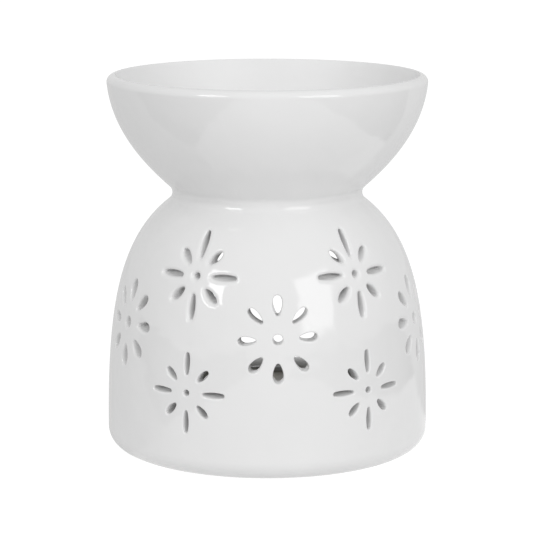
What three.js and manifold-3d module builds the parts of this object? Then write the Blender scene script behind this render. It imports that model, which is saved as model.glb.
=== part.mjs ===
// Wax melt burner: a pierced ceramic lantern, a wax bowl on its neck, and a tealight inside.
// Millimetres, +Z up. The origin is the centre of the foot. The front daisy faces -Y and
// the arch that the tealight goes in by faces +Y.

import * as THREE from "three";
import { mergeVertices } from "three/addons/utils/BufferGeometryUtils.js";
import Module from "manifold-3d";

const wasm = await Module();
wasm.setup();

const degrees = THREE.MathUtils.degToRad;

// Lantern body, outside. The side rises straight from the foot's corner and curves in to the neck.
const bodyRadius = 48;
const footCornerRadius = 5.5;
const sideRise = 35; // how far the side holds its upright direction
const shoulderReach = 19.3; // how far the shoulder holds its direction at the neck
const shoulderSlope = degrees(38);
const neckRadius = 28.3;
const neckHeight = 76.3; // height of the tightest point, where bowl and body are joined
const neckFillet = 3;

// Lantern body, inside and underneath.
const wallThickness = 4.8;
const floorThickness = 5;
const floorCornerRadius = 4.5;
const footRecess = 1.5;
const footRingWidth = 5;
const neckSeatWidth = 4.4;

// Wax bowl.
const overallHeight = 111.4;
const rimRadius = 47.4;
const rimThickness = 3.4;
const rimLean = degrees(5.5); // how far the wall still leans outwards at the rim
const rimReach = 14.4; // how far the wall holds its direction below the rim
const bowlFlare = degrees(42); // slope of the bowl's wall where it leaves the neck
const bowlFlareReach = 9;
const bowlWall = 4.6;
const bowlDepth = 35;
const bowlFloorThickness = 5;

// Arch at the back for the tealight.
const archWidth = 56;
const archTop = 64;
const archSill = 15.5;
const archCornerRadius = 8;

// Pierced daisies: round-petalled ones in the middle row, slim ones above and below it.
// A petal reaches from its inner to its outer end, and is widest at a share of that way.
const middleRowHeight = 41;
const rowPitch = 16.4;
const columnPitch = degrees(33.4);
const columnsPerSide = 2;
const petalsPerDaisy = 8;
const roundDiagonal = { inner: 6.4, outer: 12.2, width: 2.9, widest: 0.65, endRadius: 1.1, tipRadius: 0.55 };
const roundDaisy = {
  eyeDiameter: 3.1,
  petals: [
    { inner: 6.5, outer: 12.5, width: 3.2, widest: 0.64, endRadius: 1.2, tipRadius: 0.6 },
    roundDiagonal,
    { inner: 6.1, outer: 11.6, width: 2.8, widest: 0.67, endRadius: 1.1, tipRadius: 0.5 },
    roundDiagonal,
  ],
};
const slimDiagonal = { inner: 4.6, outer: 9.6, width: 2.3, widest: 0.57, endRadius: 0.6, tipRadius: 0.4 };
const slimDaisy = {
  eyeDiameter: 2.2,
  petals: [
    { inner: 4.8, outer: 11.8, width: 1.9, widest: 0.57, endRadius: 0.5, tipRadius: 0.35 },
    slimDiagonal,
    { inner: 4.9, outer: 12.1, width: 1.7, widest: 0.55, endRadius: 0.5, tipRadius: 0.35 },
    slimDiagonal,
  ],
};

// Tealight.
const cupRimRadius = 19;
const cupTaper = 0.5; // how much narrower the cup is at its base
const cupHeight = 12;
const cupWall = 0.4;
const cupBead = 0.5; // radius of the rolled edge
const cupBaseRecess = 0.6;
const cupBaseRecessRadius = 14;
const waxHeadspace = 2; // how far the wax stays below the cup's edge
const wickRadius = 0.9;
const wickStandout = 6;
const wickLean = 1.2; // how far its end leans to the front
const sustainerRadius = 8;
const sustainerThickness = 0.4;
const collarHeight = 3;
const collarWall = 0.4;

// Clearances.
const seatGap = 0.3;
const cutOverrun = 6;

// Facets.
const bodySegments = 48;
const cupSegments = 40;
const sustainerSegments = 24;
const sideSteps = 9;
const bowlSteps = 8;
const bowlFloorSteps = 3;
const lipSteps = 6;
const cornerSteps = 4;
const neckSteps = 2;
const wickSteps = 12;
const petalEndSteps = 2;
const petalTipSteps = 1;
const petalSideSteps = 2;
const eyeSteps = 8;
const archHeadSteps = 14;
const wickSides = 8;

const floorTop = footRecess + floorThickness;

const ceramicGlaze = { color: 0xf1f1ef, roughness: 0.12, metalness: 0 };
const pressedAluminium = { color: 0xc9ccd0, roughness: 0.35, metalness: 1 };
const candleWax = { color: 0xf3efe4, roughness: 0.55, metalness: 0 };
const cottonWick = { color: 0xeae5d8, roughness: 0.95, metalness: 0 };
const tinnedSteel = { color: 0xa9acb0, roughness: 0.4, metalness: 1 };

function point(r, z) {
  return new THREE.Vector2(r, z);
}

function direction(angle) {
  return point(Math.cos(angle), Math.sin(angle));
}

// Points of an arc about a centre, both ends included.
function arc(centre, radius, from, to, steps) {
  const points = [];
  for (let i = 0; i <= steps; i += 1) {
    const angle = THREE.MathUtils.lerp(from, to, i / steps);
    points.push(direction(angle).multiplyScalar(radius).add(centre));
  }
  return points;
}

// Points of a curve set into the wall on the left of its direction, by a depth that may change along it.
function inset(curve, depthAt, steps) {
  const points = [];
  for (let i = 0; i <= steps; i += 1) {
    const t = i / steps;
    const tangent = curve.getTangent(t);
    points.push(point(-tangent.y, tangent.x).multiplyScalar(depthAt(t)).add(curve.getPoint(t)));
  }
  return points;
}

// Turns a closed profile, listed anticlockwise with the axis on its left, about the Z axis.
function revolve(profile, segments) {
  const closed = profile.at(0).x === 0 ? profile : [...profile, profile.at(0)];
  return new THREE.LatheGeometry(closed, segments).rotateX(Math.PI / 2);
}

function toSolid(geometry) {
  const bare = geometry.clone();
  bare.deleteAttribute("normal");
  bare.deleteAttribute("uv");
  const merged = mergeVertices(bare);
  return new wasm.Manifold(
    new wasm.Mesh({
      numProp: 3,
      vertProperties: Float32Array.from(merged.attributes.position.array),
      triVerts: Uint32Array.from(merged.index.array),
    }),
  );
}

function toGeometry(solid) {
  const { vertProperties, triVerts } = solid.getMesh();
  const geometry = new THREE.BufferGeometry();
  geometry.setAttribute("position", new THREE.BufferAttribute(vertProperties, 3));
  geometry.setIndex(new THREE.BufferAttribute(triVerts, 1));
  geometry.computeVertexNormals();
  return geometry;
}

function piece(name, geometry, finish) {
  const mesh = new THREE.Mesh(geometry, new THREE.MeshStandardMaterial(finish));
  mesh.name = name;
  return mesh;
}

// Neck: one round fillet, split between body and bowl at its tightest point.
const neckCentre = point(neckRadius + neckFillet, neckHeight);
const neckFoot = Math.PI * 1.5 - shoulderSlope;
const neckHead = Math.PI / 2 + bowlFlare;

const neckFootPoint = direction(neckFoot).multiplyScalar(neckFillet).add(neckCentre);
const neckHeadPoint = direction(neckHead).multiplyScalar(neckFillet).add(neckCentre);

const sideCurve = new THREE.CubicBezierCurve(
  point(bodyRadius, footCornerRadius),
  point(bodyRadius, footCornerRadius + sideRise),
  direction(-shoulderSlope).multiplyScalar(shoulderReach).add(neckFootPoint),
  neckFootPoint,
);

const lipRadius = rimThickness / 2;
const rimUpward = direction(Math.PI / 2 - rimLean);
const lipCentre = point(
  rimRadius - lipRadius * Math.cos(rimLean),
  overallHeight - lipRadius,
);
const rimPoint = point(rimRadius, lipCentre.y - lipRadius * Math.sin(rimLean));

const bowlCurve = new THREE.CubicBezierCurve(
  neckHeadPoint,
  direction(bowlFlare).multiplyScalar(bowlFlareReach).add(neckHeadPoint),
  rimUpward.clone().multiplyScalar(-rimReach).add(rimPoint),
  rimPoint,
);

function bodyProfile() {
  const footRingRadius = bodyRadius - footCornerRadius;
  const footCornerCentre = point(footRingRadius, footCornerRadius);
  const footCorner = arc(footCornerCentre, footCornerRadius, -Math.PI / 2, 0, cornerSteps);
  const side = sideCurve.getPoints(sideSteps).slice(1);
  const neck = arc(neckCentre, neckFillet, neckFoot, Math.PI, neckSteps).slice(1);
  const innerRadius = bodyRadius - wallThickness;
  const floorCornerCentre = point(innerRadius - floorCornerRadius, floorTop + floorCornerRadius);
  const floorCorner = arc(floorCornerCentre, floorCornerRadius, 0, -Math.PI / 2, cornerSteps);
  const innerSide = inset(sideCurve, () => wallThickness, sideSteps)
    .filter((at) => at.y > floorCornerCentre.y + seatGap)
    .reverse();
  return [
    point(0, footRecess),
    point(footRingRadius - footRingWidth - footRecess, footRecess),
    point(footRingRadius - footRingWidth, 0),
    ...footCorner,
    ...side,
    ...neck,
    point(neckRadius - neckSeatWidth, neckHeight),
    ...innerSide,
    ...floorCorner,
    point(0, floorTop),
  ];
}

// Outer radius of the side at a height, found by halving the curve.
function sideRadiusAt(height) {
  let low = 0;
  let high = 1;
  while (high - low > 1e-6) {
    const middle = (low + high) / 2;
    if (sideCurve.getPoint(middle).y < height) {
      low = middle;
    } else {
      high = middle;
    }
  }
  return sideCurve.getPoint(low).x;
}

// A petal along +Y, as an egg of six arcs: a round end, full sides and a small tip towards the eye.
// The arcs of a side meet at the widest place and run smoothly into the end's and the tip's.
function petalShape({ inner, outer, width, widest, endRadius, tipRadius }) {
  const half = width / 2;
  const level = THREE.MathUtils.lerp(inner, outer, widest);
  const endCentre = point(0, outer - endRadius);
  const tipCentre = point(0, inner + tipRadius);
  const rise = endCentre.y - level;
  const fall = level - tipCentre.y;
  const upperRadius = (half ** 2 + rise ** 2 - endRadius ** 2) / (2 * (half - endRadius));
  const lowerRadius = (half ** 2 + fall ** 2 - tipRadius ** 2) / (2 * (half - tipRadius));
  const over = Math.atan2(rise, upperRadius - half);
  const under = Math.atan2(fall, lowerRadius - half);
  const outline = [
    ...arc(point(half - upperRadius, level), upperRadius, 0, over, petalSideSteps),
    ...arc(endCentre, endRadius, over, Math.PI - over, petalEndSteps).slice(1),
    ...arc(point(upperRadius - half, level), upperRadius, Math.PI - over, Math.PI, petalSideSteps).slice(1),
    ...arc(point(lowerRadius - half, level), lowerRadius, Math.PI, Math.PI + under, petalSideSteps).slice(1),
    ...arc(tipCentre, tipRadius, Math.PI + under, Math.PI * 2 - under, petalTipSteps).slice(1),
    ...arc(point(half - lowerRadius, level), lowerRadius, -under, 0, petalSideSteps).slice(1, -1),
  ];
  return new THREE.Shape(outline);
}

function eyeShape(diameter) {
  return new THREE.Shape(arc(point(0, 0), diameter / 2, 0, Math.PI * 2, eyeSteps).slice(1));
}

// A cutter that goes through the wall towards the axis. The shape turns by an angle in the
// wall's face, about its own reach, so that every petal is cut square to the axis.
function radialCutter(shape, turn, reach, azimuth, height) {
  const outerRadius = sideRadiusAt(height);
  const across = -Math.sin(turn) * reach;
  const up = Math.cos(turn) * reach;
  const depth = wallThickness * 4 + cutOverrun;
  return new THREE.ExtrudeGeometry(shape, { depth, bevelEnabled: false })
    .translate(0, -reach, 0)
    .rotateZ(turn)
    .rotateX(Math.PI / 2)
    .translate(0, -(outerRadius + cutOverrun - depth), height + up)
    .rotateZ(azimuth + across / outerRadius);
}

function daisyCutters(daisy, azimuth, height) {
  const cutters = [radialCutter(eyeShape(daisy.eyeDiameter), 0, 0, azimuth, height)];
  for (let i = 0; i < petalsPerDaisy; i += 1) {
    const petal = daisy.petals[i % daisy.petals.length];
    const turn = (i / petalsPerDaisy) * Math.PI * 2;
    const reach = (petal.inner + petal.outer) / 2;
    cutters.push(radialCutter(petalShape(petal), turn, reach, azimuth, height));
  }
  return cutters;
}

// Columns of daisies run from the front daisy round both sides, one in the middle row and two in the next.
function allDaisyCutters() {
  const cutters = [];
  for (let column = -columnsPerSide; column <= columnsPerSide; column += 1) {
    const azimuth = column * columnPitch;
    if (column % 2 === 0) {
      cutters.push(...daisyCutters(roundDaisy, azimuth, middleRowHeight));
    } else {
      cutters.push(...daisyCutters(slimDaisy, azimuth, middleRowHeight + rowPitch));
      cutters.push(...daisyCutters(slimDaisy, azimuth, middleRowHeight - rowPitch));
    }
  }
  return cutters;
}

// The arch: a sill with rounded corners, upright sides and a half-round head, cut straight through the back.
function archCutter() {
  const half = archWidth / 2;
  const spring = archTop - half;
  const corner = archCornerRadius;
  const outline = [
    ...arc(point(0, spring), half, 0, Math.PI, archHeadSteps),
    ...arc(point(corner - half, archSill + corner), corner, Math.PI, Math.PI * 1.5, cornerSteps),
    ...arc(point(half - corner, archSill + corner), corner, Math.PI * 1.5, Math.PI * 2, cornerSteps),
  ];
  const depth = bodyRadius + cutOverrun;
  return new THREE.ExtrudeGeometry(new THREE.Shape(outline), { depth, bevelEnabled: false })
    .rotateX(Math.PI / 2)
    .translate(0, depth, 0);
}

function lanternBody() {
  let body = toSolid(revolve(bodyProfile(), bodySegments));
  for (const cutter of [...allDaisyCutters(), archCutter()]) {
    body = body.subtract(toSolid(cutter));
  }
  return piece("lantern_body", toGeometry(body), ceramicGlaze);
}

function waxBowl() {
  const seatInner = neckRadius - neckSeatWidth;
  const floorHeight = overallHeight - bowlDepth;
  const underside = floorHeight - bowlFloorThickness;
  const flareRun = 1 / Math.tan(bowlFlare);
  const depthAt = (t) => THREE.MathUtils.lerp(bowlWall, rimThickness, t);
  const innerWall = inset(bowlCurve, depthAt, bowlSteps);
  const innerFoot = innerWall[0];
  const innerFloor = new THREE.QuadraticBezierCurve(
    innerFoot,
    point(innerFoot.x - (innerFoot.y - floorHeight) * flareRun, floorHeight),
    point(0, floorHeight),
  );
  const under = new THREE.QuadraticBezierCurve(
    point(0, underside),
    point(seatInner - (neckHeight - underside) * flareRun, underside),
    point(seatInner, neckHeight),
  );
  const lip = arc(lipCentre, lipRadius, -rimLean, Math.PI - rimLean, lipSteps);
  const profile = [
    ...under.getPoints(bowlFloorSteps),
    ...arc(neckCentre, neckFillet, Math.PI, neckHead, neckSteps),
    ...bowlCurve.getPoints(bowlSteps).slice(1, -1),
    ...lip,
    ...innerWall.reverse().slice(1),
    ...innerFloor.getPoints(bowlFloorSteps).slice(1),
  ];
  return piece("wax_bowl", revolve(profile, bodySegments), ceramicGlaze);
}

// Heights inside the tealight are measured from the cup's base.
const cupFloorTop = cupBaseRecess + cupWall;
const sustainerTop = cupFloorTop + sustainerThickness;
const collarTop = cupFloorTop + collarHeight;
const collarRadius = wickRadius + seatGap + collarWall;
const waxTop = cupHeight - waxHeadspace;

function cupInnerRadiusAt(height) {
  return cupRimRadius - cupTaper * (1 - height / cupHeight) - cupWall;
}

function tealightCup() {
  const baseRadius = cupRimRadius - cupTaper;
  const beadCentre = point(cupRimRadius, cupHeight - cupBead);
  const profile = [
    point(0, cupBaseRecess),
    point(cupBaseRecessRadius, cupBaseRecess),
    point(cupBaseRecessRadius + cupBaseRecess, 0),
    point(baseRadius - cupWall, 0),
    point(baseRadius, cupWall),
    ...arc(beadCentre, cupBead, -Math.PI / 2, Math.PI / 2, cornerSteps),
    point(cupRimRadius - cupWall, cupHeight),
    point(cupInnerRadiusAt(cupFloorTop), cupFloorTop),
    point(0, cupFloorTop),
  ];
  return piece("tealight_cup", revolve(profile, cupSegments), pressedAluminium);
}

// The wax is cast round the sustainer and wick, so its hollow follows them with a small gap.
function tealightWax() {
  const profile = [
    point(sustainerRadius + seatGap, cupFloorTop),
    point(cupInnerRadiusAt(cupFloorTop) - seatGap, cupFloorTop),
    point(cupInnerRadiusAt(waxTop) - seatGap, waxTop),
    point(wickRadius + seatGap, waxTop),
    point(wickRadius + seatGap, collarTop + seatGap),
    point(collarRadius + seatGap, collarTop + seatGap),
    point(collarRadius + seatGap, sustainerTop + seatGap),
    point(sustainerRadius + seatGap, sustainerTop + seatGap),
  ];
  return piece("candle_wax", revolve(profile, cupSegments), candleWax);
}

function wickSustainer() {
  const bore = wickRadius + seatGap;
  const profile = [
    point(bore, cupFloorTop),
    point(sustainerRadius, cupFloorTop),
    point(sustainerRadius, sustainerTop),
    point(collarRadius, sustainerTop),
    point(collarRadius, collarTop),
    point(bore, collarTop),
  ];
  return piece("wick_sustainer", revolve(profile, sustainerSegments), tinnedSteel);
}

// The wick stands on the cup's floor, straight through the wax, and leans a little where it is free.
function wick() {
  const section = new THREE.Shape(arc(point(0, 0), wickRadius, 0, Math.PI * 2, wickSides).slice(1));
  const upright = new THREE.LineCurve3(
    new THREE.Vector3(0, 0, cupFloorTop),
    new THREE.Vector3(0, 0, waxTop),
  );
  const free = new THREE.QuadraticBezierCurve3(
    new THREE.Vector3(0, 0, waxTop),
    new THREE.Vector3(0, 0, waxTop + wickStandout / 2),
    new THREE.Vector3(0, -wickLean, waxTop + wickStandout),
  );
  const path = new THREE.CurvePath();
  path.add(upright);
  path.add(free);
  const geometry = new THREE.ExtrudeGeometry(section, { extrudePath: path, steps: wickSteps });
  return piece("wick", geometry, cottonWick);
}

const tealight = new THREE.Group();
tealight.position.z = floorTop;
tealight.add(tealightCup(), tealightWax(), wickSustainer(), wick());

const burner = new THREE.Group();
burner.add(lanternBody(), waxBowl(), tealight);

export default burner;
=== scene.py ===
"""Wax melt burner: a pierced white ceramic lantern, a bowl on its neck and a tealight inside.

Sizes are in millimetres and angles in radians. The meshes are in metres, in the CAD frame: +Z goes
up the axis, the front daisy faces -Y and the arch that the tealight goes in by faces +Y. An azimuth
is measured from -Y towards +X.
"""

import logging
from dataclasses import dataclass, replace
from enum import Enum
from math import atan2, ceil, comb, cos, pi, radians, sin, tan

import bpy
import numpy as np
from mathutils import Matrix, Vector
from mathutils.geometry import delaunay_2d_cdt


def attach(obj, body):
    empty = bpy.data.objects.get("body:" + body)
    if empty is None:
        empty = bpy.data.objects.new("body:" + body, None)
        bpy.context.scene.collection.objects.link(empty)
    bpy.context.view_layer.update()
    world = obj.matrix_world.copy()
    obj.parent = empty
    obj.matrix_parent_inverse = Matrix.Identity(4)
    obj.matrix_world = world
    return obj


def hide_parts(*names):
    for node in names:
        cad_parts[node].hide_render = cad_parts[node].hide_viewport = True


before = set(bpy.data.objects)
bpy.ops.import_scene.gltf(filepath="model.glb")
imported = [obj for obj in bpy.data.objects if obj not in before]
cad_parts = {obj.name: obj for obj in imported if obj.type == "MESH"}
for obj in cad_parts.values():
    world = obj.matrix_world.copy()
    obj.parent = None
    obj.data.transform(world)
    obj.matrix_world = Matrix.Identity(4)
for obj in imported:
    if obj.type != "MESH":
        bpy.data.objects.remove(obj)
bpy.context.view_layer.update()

Array = np.ndarray
MM = 0.001
IMAGE_PIXELS = 533
SENSOR_WIDTH = 36.0
COAT_AND_SHADE = "dry_coat_and_shade"  # how dry the glaze is, none on the outside, and painted shade inside the lantern
BOWL_COAT = 0.5
# inside the lantern: dry glaze, greyed fully with painted shade
LANTERN_COAT_AND_SHADE = 1.0
WELD_DECIMALS = 4  # points that agree to this many decimals become one
LEAST_LENGTH = 1e-12  # a shorter vector counts as this long
LEAST_AREA = 1e-9  # a smaller triangle is dropped
SAME_PLACE = 1e-6  # points nearer than this count as one
MESHING_TOLERANCE = 1e-7
LONGEST_EASE = 1 / 3  # share of a side that a rounded corner may take
LEAST_STEPS = 3  # of any side or corner of an outline
USUAL_GROWTH = 0.6  # the growth at which the points of an outline's corners are spaced
FACINGS = 12  # steps between the directions that an outline's corner faces
FINE_STEPS = 4000  # of a profile whose length is measured
PROFILE_STEPS = 1500  # of the lantern's side
LIP_POWER = 2 / 3  # rounds the square of a hole's outer lip
LIP_CROWDING = 1.5  # brings the steps of that lip closer where it leaves the face
HOLE_CLEARANCE = 0.45  # how far grid points keep from a hole, in steps of the grid
HOLE_EDGE = 0.02  # a triangle whose middle is this near a hole lies in it

log = logging.getLogger("wax_melt_burner")


def linear(code: str) -> tuple[float, float, float, float]:
    """Turns an sRGB hex colour into linear light.

    Args:
        code: the colour as "#rrggbb".

    Returns:
        Red, green, blue and alpha.
    """
    srgb = np.array([int(code[at : at + 2], 16) for at in (1, 3, 5)]) / 255.0
    rgb = np.where(srgb <= 0.04045, srgb / 12.92, ((srgb + 0.055) / 1.055) ** 2.4)
    return (*map(float, rgb), 1.0)


def per_metre(size: float) -> float:
    """Gives the texture scale at which one feature of a pattern is this many millimetres wide."""
    return 1.0 / (size * MM)


def set_inputs(tree: bpy.types.NodeTree, node: bpy.types.Node, inputs: dict) -> None:
    """Sets a node's sockets: another node's socket is linked, anything else is written as a value.

    Args:
        tree: the node tree that holds the node.
        node: the node.
        inputs: what goes into each socket, by the socket's name or number.
    """
    for name, value in inputs.items():
        if isinstance(value, bpy.types.NodeSocket):
            tree.links.new(value, node.inputs[name])
        else:
            node.inputs[name].default_value = value


def add_node(
    tree: bpy.types.NodeTree, kind: str, settings: dict | None = None, inputs: dict | None = None
) -> bpy.types.Node:
    """Adds a node with its settings and links.

    Args:
        tree: the node tree that takes the node.
        kind: Blender's name for the kind of node.
        settings: values of the node's own properties.
        inputs: what goes into its sockets, as set_inputs takes it.

    Returns:
        The node.
    """
    node = tree.nodes.new(kind)
    for name, value in (settings or {}).items():
        setattr(node, name, value)
    set_inputs(tree, node, inputs or {})
    return node


def empty_tree(owner: bpy.types.ID) -> bpy.types.NodeTree:
    """Turns on the nodes of a material, a world or a lamp, and clears them.

    Args:
        owner: the material, world or lamp.

    Returns:
        Its node tree, empty.
    """
    owner.use_nodes = True
    owner.node_tree.nodes.clear()
    return owner.node_tree


def add_object(name: str, data: bpy.types.ID) -> bpy.types.Object:
    """Makes an object from its data and links it to the scene.

    Args:
        name: the object's name.
        data: its mesh, lamp or camera.

    Returns:
        The object.
    """
    made = bpy.data.objects.new(name, data)
    bpy.context.scene.collection.objects.link(made)
    return made


@dataclass(frozen=True)
class Finish:
    """A surface finish, which makes one material around a Principled shader."""

    name: str

    def material(self) -> bpy.types.Material:
        """Makes the material.

        Returns:
            The material, dressed.
        """
        material = bpy.data.materials.new(self.name)
        tree = empty_tree(material)
        shader = add_node(tree, "ShaderNodeBsdfPrincipled")
        add_node(tree, "ShaderNodeOutputMaterial", inputs={"Surface": shader.outputs["BSDF"]})
        self.dress(tree, shader)
        return material

    def dress(self, tree: bpy.types.NodeTree, shader: bpy.types.Node) -> None:
        """Adds the finish's nodes to the shader."""
        raise NotImplementedError


@dataclass(frozen=True)
class WhiteGlaze(Finish):
    """Clear gloss glaze over white earthenware, dipped and fired.

    The eye sees a hard mirror gloss on a soft white, with slow waves in the gloss where the glaze
    ran, a little more depth of colour where it pooled, a satin glaze in the bowl, a thin dry glaze
    inside the lantern, greyed there as painted shade, and bare matt bisque on the foot ring, which
    was wiped so that it would not stick to the kiln shelf.
    """

    name: str = "white_tin_glaze_on_earthenware"
    thick: str = "#ededed"
    thin: str = "#f2f2f2"
    # painted shade: the grey that the inside of the lantern is darkened to
    painted_shade: str = "#b4b3ae"
    bisque: str = "#e4dfd4"
    pooling_size: float = 24.0
    wave_size: float = 8.0
    wave_height: float = 0.26
    peel_size: float = 1.4
    peel_height: float = 0.0009
    bisque_grit: float = 0.35
    foot_wipe: float = 0.12
    ior: float = 1.52
    roughness: tuple[float, float] = (0.015, 0.045)
    dry_roughness: float = 0.9
    bisque_roughness: tuple[float, float] = (0.7, 0.95)

    def dress(self, tree: bpy.types.NodeTree, shader: bpy.types.Node) -> None:
        """Mixes glaze, painted shade and bisque by place, and waves the gloss with a bump.

        Args:
            tree: the material's node tree.
            shader: its Principled shader.
        """
        place = add_node(tree, "ShaderNodeTexCoord").outputs["Object"]
        coat_and_shade = add_node(tree, "ShaderNodeAttribute", {"attribute_name": COAT_AND_SHADE}).outputs["Fac"]
        # painted shade: how far the glaze is greyed, from none in the bowl to all inside the
        # lantern
        painted_shade = add_node(
            tree,
            "ShaderNodeMapRange",
            inputs={"Value": coat_and_shade, "From Min": BOWL_COAT, "From Max": LANTERN_COAT_AND_SHADE},
        ).outputs["Result"]
        height = add_node(tree, "ShaderNodeSeparateXYZ", inputs={0: place}).outputs["Z"]
        bare = add_node(
            tree,
            "ShaderNodeMath",
            {"operation": "LESS_THAN"},
            {0: height, 1: self.foot_wipe * MM},
        ).outputs[0]
        pooling = add_node(
            tree,
            "ShaderNodeTexNoise",
            inputs={"Vector": place, "Scale": per_metre(self.pooling_size), "Detail": 2.0},
        ).outputs["Fac"]
        glaze = add_node(
            tree,
            "ShaderNodeMix",
            {"data_type": "RGBA"},
            {0: pooling, 6: linear(self.thick), 7: linear(self.thin)},
        ).outputs[2]
        # greys the glaze inside the lantern with painted shade
        shaded_glaze = add_node(
            tree,
            "ShaderNodeMix",
            {"data_type": "RGBA"},
            {0: painted_shade, 6: glaze, 7: linear(self.painted_shade)},
        ).outputs[2]
        colour = add_node(
            tree,
            "ShaderNodeMix",
            {"data_type": "RGBA"},
            {0: bare, 6: shaded_glaze, 7: linear(self.bisque)},
        ).outputs[2]
        wave = add_node(
            tree,
            "ShaderNodeTexNoise",
            inputs={"Vector": place, "Scale": per_metre(self.wave_size), "Detail": 1.0},
        ).outputs["Fac"]
        peel = add_node(
            tree,
            "ShaderNodeTexNoise",
            inputs={"Vector": place, "Scale": per_metre(self.peel_size), "Detail": 1.0},
        ).outputs["Fac"]
        grit = add_node(
            tree,
            "ShaderNodeTexNoise",
            inputs={"Vector": place, "Scale": per_metre(self.bisque_grit), "Detail": 3.0},
        ).outputs["Fac"]
        sheen = add_node(
            tree,
            "ShaderNodeMapRange",
            inputs={"Value": wave, "To Min": self.roughness[0], "To Max": self.roughness[1]},
        ).outputs["Result"]
        satin = add_node(
            tree,
            "ShaderNodeMix",
            {"data_type": "FLOAT"},
            {0: coat_and_shade, 2: sheen, 3: self.dry_roughness},
        ).outputs[0]
        dry = add_node(
            tree,
            "ShaderNodeMapRange",
            inputs={
                "Value": grit,
                "To Min": self.bisque_roughness[0],
                "To Max": self.bisque_roughness[1],
            },
        ).outputs["Result"]
        roughness = add_node(
            tree, "ShaderNodeMix", {"data_type": "FLOAT"}, {0: bare, 2: satin, 3: dry}
        ).outputs[0]
        waved = add_node(
            tree,
            "ShaderNodeBump",
            inputs={"Height": wave, "Distance": self.wave_height * MM, "Strength": 1.0},
        ).outputs["Normal"]
        peeled = add_node(
            tree,
            "ShaderNodeBump",
            inputs={
                "Height": peel,
                "Distance": self.peel_height * MM,
                "Strength": 1.0,
                "Normal": waved,
            },
        ).outputs["Normal"]
        set_inputs(
            tree,
            shader,
            {"Base Color": colour, "Roughness": roughness, "IOR": self.ior, "Normal": peeled},
        )


@dataclass(frozen=True)
class PressedAluminium(Finish):
    """Aluminium foil, deep drawn into a cup.

    The eye sees a softly silvery metal with fine upright draw lines on its side and small dents.
    """

    name: str = "drawn_aluminium_foil"
    colour: str = "#d9dadc"
    dent_size: float = 5.0
    dent_height: float = 0.06
    dent_strength: float = 0.6
    draw_line: float = 0.45  # finer on the real cup, and drawn this wide so that it shows
    draw_height: float = 0.01
    draw_strength: float = 0.5
    squeeze: float = 0.04  # how far the lines are stretched up the side
    roughness: tuple[float, float] = (0.3, 0.55)

    def dress(self, tree: bpy.types.NodeTree, shader: bpy.types.Node) -> None:
        """Scratches the metal with stretched noise and dents it with broad noise.

        Args:
            tree: the material's node tree.
            shader: its Principled shader.
        """
        place = add_node(tree, "ShaderNodeTexCoord").outputs["Object"]
        stretched = add_node(
            tree,
            "ShaderNodeMapping",
            inputs={"Vector": place, "Scale": (1.0, 1.0, self.squeeze)},
        ).outputs["Vector"]
        lines = add_node(
            tree,
            "ShaderNodeTexNoise",
            inputs={"Vector": stretched, "Scale": per_metre(self.draw_line), "Detail": 2.0},
        ).outputs["Fac"]
        dents = add_node(
            tree,
            "ShaderNodeTexNoise",
            inputs={"Vector": place, "Scale": per_metre(self.dent_size), "Detail": 1.0},
        ).outputs["Fac"]
        dull = add_node(
            tree,
            "ShaderNodeMapRange",
            inputs={"Value": lines, "To Min": self.roughness[0], "To Max": self.roughness[1]},
        ).outputs["Result"]
        dented = add_node(
            tree,
            "ShaderNodeBump",
            inputs={
                "Height": dents,
                "Distance": self.dent_height * MM,
                "Strength": self.dent_strength,
            },
        ).outputs["Normal"]
        drawn = add_node(
            tree,
            "ShaderNodeBump",
            inputs={
                "Height": lines,
                "Distance": self.draw_height * MM,
                "Strength": self.draw_strength,
                "Normal": dented,
            },
        ).outputs["Normal"]
        set_inputs(
            tree,
            shader,
            {
                "Base Color": linear(self.colour),
                "Metallic": 1.0,
                "Roughness": dull,
                "Normal": drawn,
            },
        )


@dataclass(frozen=True)
class ParaffinWax(Finish):
    """White paraffin wax, poured into the cup and cooled.

    The eye sees a translucent white with a frosted, slightly mottled top.
    """

    name: str = "poured_paraffin_wax"
    clear: str = "#ece8dc"
    frosted: str = "#f6f4ee"
    mottle_size: float = 3.2
    frost_size: float = 0.7
    frost_height: float = 0.02
    frost_strength: float = 0.7
    depth: float = 1.6  # how far light goes in before it comes out again
    depth_by_colour: tuple[float, float, float] = (1.0, 0.9, 0.75)  # red, green and blue
    scattered: float = 0.45  # share of the light that goes in
    ior: float = 1.44
    roughness: tuple[float, float] = (0.32, 0.58)

    def dress(self, tree: bpy.types.NodeTree, shader: bpy.types.Node) -> None:
        """Mottles the colour and frosts the surface, over scattered light.

        Args:
            tree: the material's node tree.
            shader: its Principled shader.
        """
        place = add_node(tree, "ShaderNodeTexCoord").outputs["Object"]
        mottle = add_node(
            tree,
            "ShaderNodeTexNoise",
            inputs={"Vector": place, "Scale": per_metre(self.mottle_size), "Detail": 4.0},
        ).outputs["Fac"]
        frost = add_node(
            tree,
            "ShaderNodeTexNoise",
            inputs={"Vector": place, "Scale": per_metre(self.frost_size), "Detail": 3.0},
        ).outputs["Fac"]
        colour = add_node(
            tree,
            "ShaderNodeMix",
            {"data_type": "RGBA"},
            {0: mottle, 6: linear(self.clear), 7: linear(self.frosted)},
        ).outputs[2]
        satin = add_node(
            tree,
            "ShaderNodeMapRange",
            inputs={"Value": mottle, "To Min": self.roughness[0], "To Max": self.roughness[1]},
        ).outputs["Result"]
        frosted = add_node(
            tree,
            "ShaderNodeBump",
            inputs={
                "Height": frost,
                "Distance": self.frost_height * MM,
                "Strength": self.frost_strength,
            },
        ).outputs["Normal"]
        set_inputs(
            tree,
            shader,
            {
                "Base Color": colour,
                "Roughness": satin,
                "IOR": self.ior,
                "Subsurface Weight": self.scattered,
                "Subsurface Radius": self.depth_by_colour,
                "Subsurface Scale": self.depth * MM,
                "Normal": frosted,
            },
        )


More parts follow.
